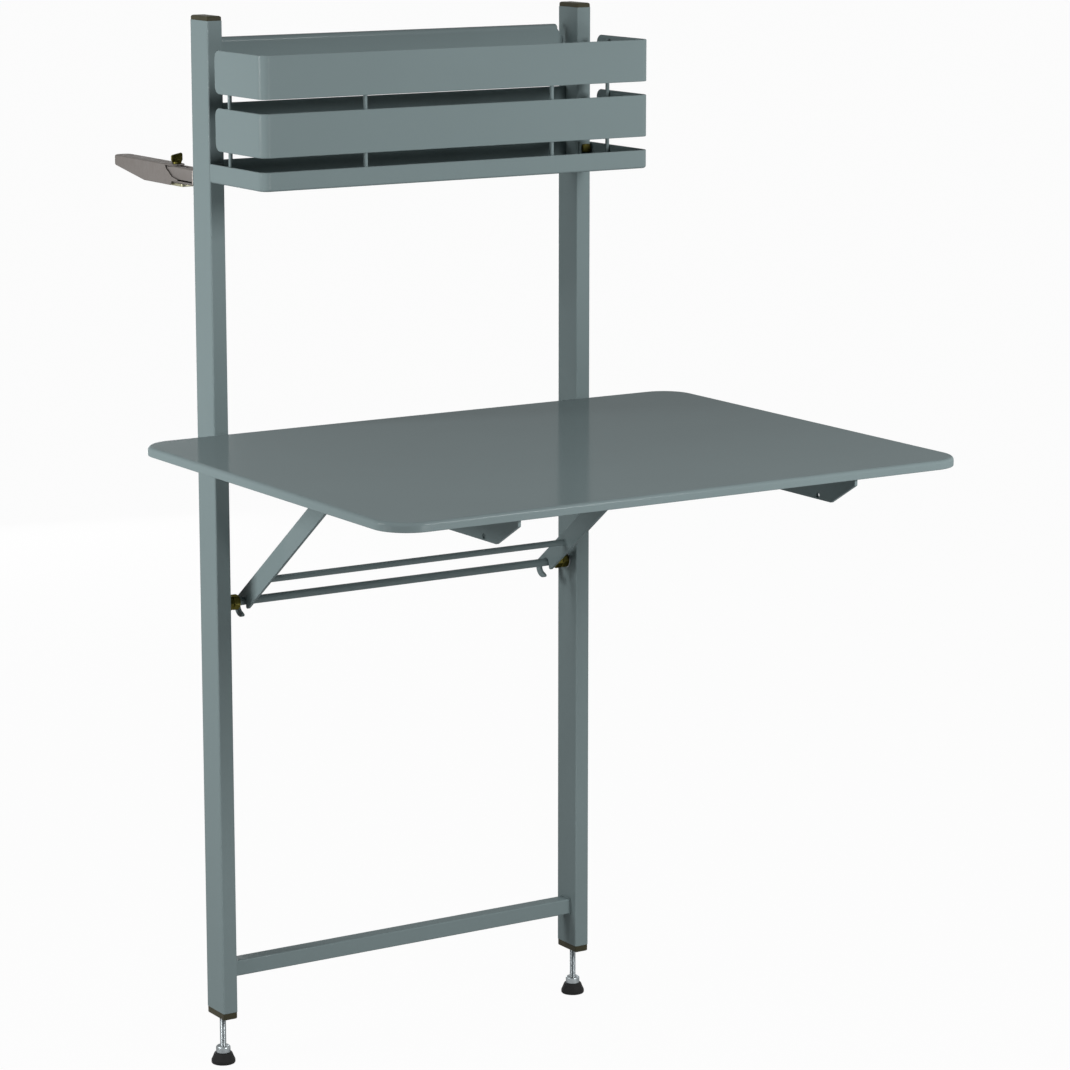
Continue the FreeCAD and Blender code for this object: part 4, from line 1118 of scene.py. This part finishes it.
def hook_rows():
    """The pan's rows on both sides: tongue, near edge, knee and far corner."""
    tongue = bend_rows((0, TONGUE_Y), HOOK_HALF, 270, 180, HOOK_SHEET, 10)
    centre = (-HOOK_HALF + HOOK_CORNER, HOOK_FAR - HOOK_CORNER)
    walls = hook_wall(arc(centre, HOOK_CORNER, 180, 90, 10)[:, 1])
    corner = bend_rows(centre, HOOK_CORNER, 180, 90, walls, 10)
    side = [(-HOOK_HALF, WEB_NEAR, HOOK_SHEET, 1, 0)]
    side += [(-HOOK_HALF, y, hook_wall(y), 1, 0) for y in (WEB_NEAR, HOOK_KNEE)]
    rows = there_and_back(np.concatenate([tongue, side, corner]), ROW_SIGNS)
    rows[:, 0] -= POST_X
    return rows


def hook_tip(x):
    """A side's pointed tip below the top, drawn in the YZ plane."""
    outline = softened([(WEB_NEAR, HOOK_LOW), (WEB_NEAR, HOOK_TOP - 0.001), (0.0895, 1.1105),
                        (0.074, 1.101), (0.054, 1.0975), (0.074, 1.0955), (0.078, HOOK_LOW)],
                       [0, 0, 0.001, 0.003, 0.0008, 0.001, 0.001])
    return plate([outline], x, HOOK_SHEET, 0.0003, "X")


left_hook = together(pan(hook_rows(), HOOK_TOP, -1, HOOK_SHEET, HOOK_BEND),
                     hook_tip(-POST_X - HOOK_HALF), hook_tip(-POST_X + HOOK_HALF - HOOK_SHEET))
add_sides(("*_hook_pan", left_hook, "*_hook", "*_hook_channel"))

# %% Clamp blocks and wing screws
SCREW_Y, SCREW_RADIUS, SCREW_PITCH = 0.082, 0.003, 0.001
BLOCK_TOP, BLOCK_TALL = 1.0934, 0.0036
WING_LOW = 1.1153
WING_HALF_THICK = 0.00125
BASE_PROFILE = ((0, 0), (0.005, 0), (0.0055, 0.0005), (0.0055, 0.002), (0.005, 0.0027),
                (0.0036, 0.003), (0, 0.003))

block_outline = rounded_rectangle((-POST_X - 0.008, 0.054), (-POST_X + 0.008, 0.09), 0.0012, 4)
left_block = plate([block_outline], BLOCK_TOP - BLOCK_TALL, BLOCK_TALL, SOFT, "Z")
wing_outline = softened([(-0.0055, 0.001), (0.0055, 0.001), (0.0075, 0.0045),
                         (0.0075, 0.0136), (-0.0075, 0.0106), (-0.0075, 0.0045)],
                        [0.0005, 0.0005, 0.002, 0.0022, 0.0022, 0.002])
wing_plate = plate([wing_outline + np.array([-POST_X, WING_LOW])], SCREW_Y - WING_HALF_THICK,
                   2 * WING_HALF_THICK, 0.0007, "Y")
screw_spot = (-POST_X, SCREW_Y, WING_LOW)
wing_base = turned(BASE_PROFILE, screw_spot, "Z", 32)
wing_shank = threaded(BLOCK_TOP - BLOCK_TALL, WING_LOW + 0.001, SCREW_RADIUS, SCREW_PITCH,
                      (-POST_X, SCREW_Y, 0))
add_sides(("*_block", left_block, "*_hook", "*_clamp_block"),
          ("*_wing", together(wing_plate, wing_base, wing_shank), "*_wing", "*_wing_screw"))

# %% [markdown]
# Last update
#
# At the end the view layer is brought up to date.

# %% Update the view layer
bpy.context.view_layer.update()
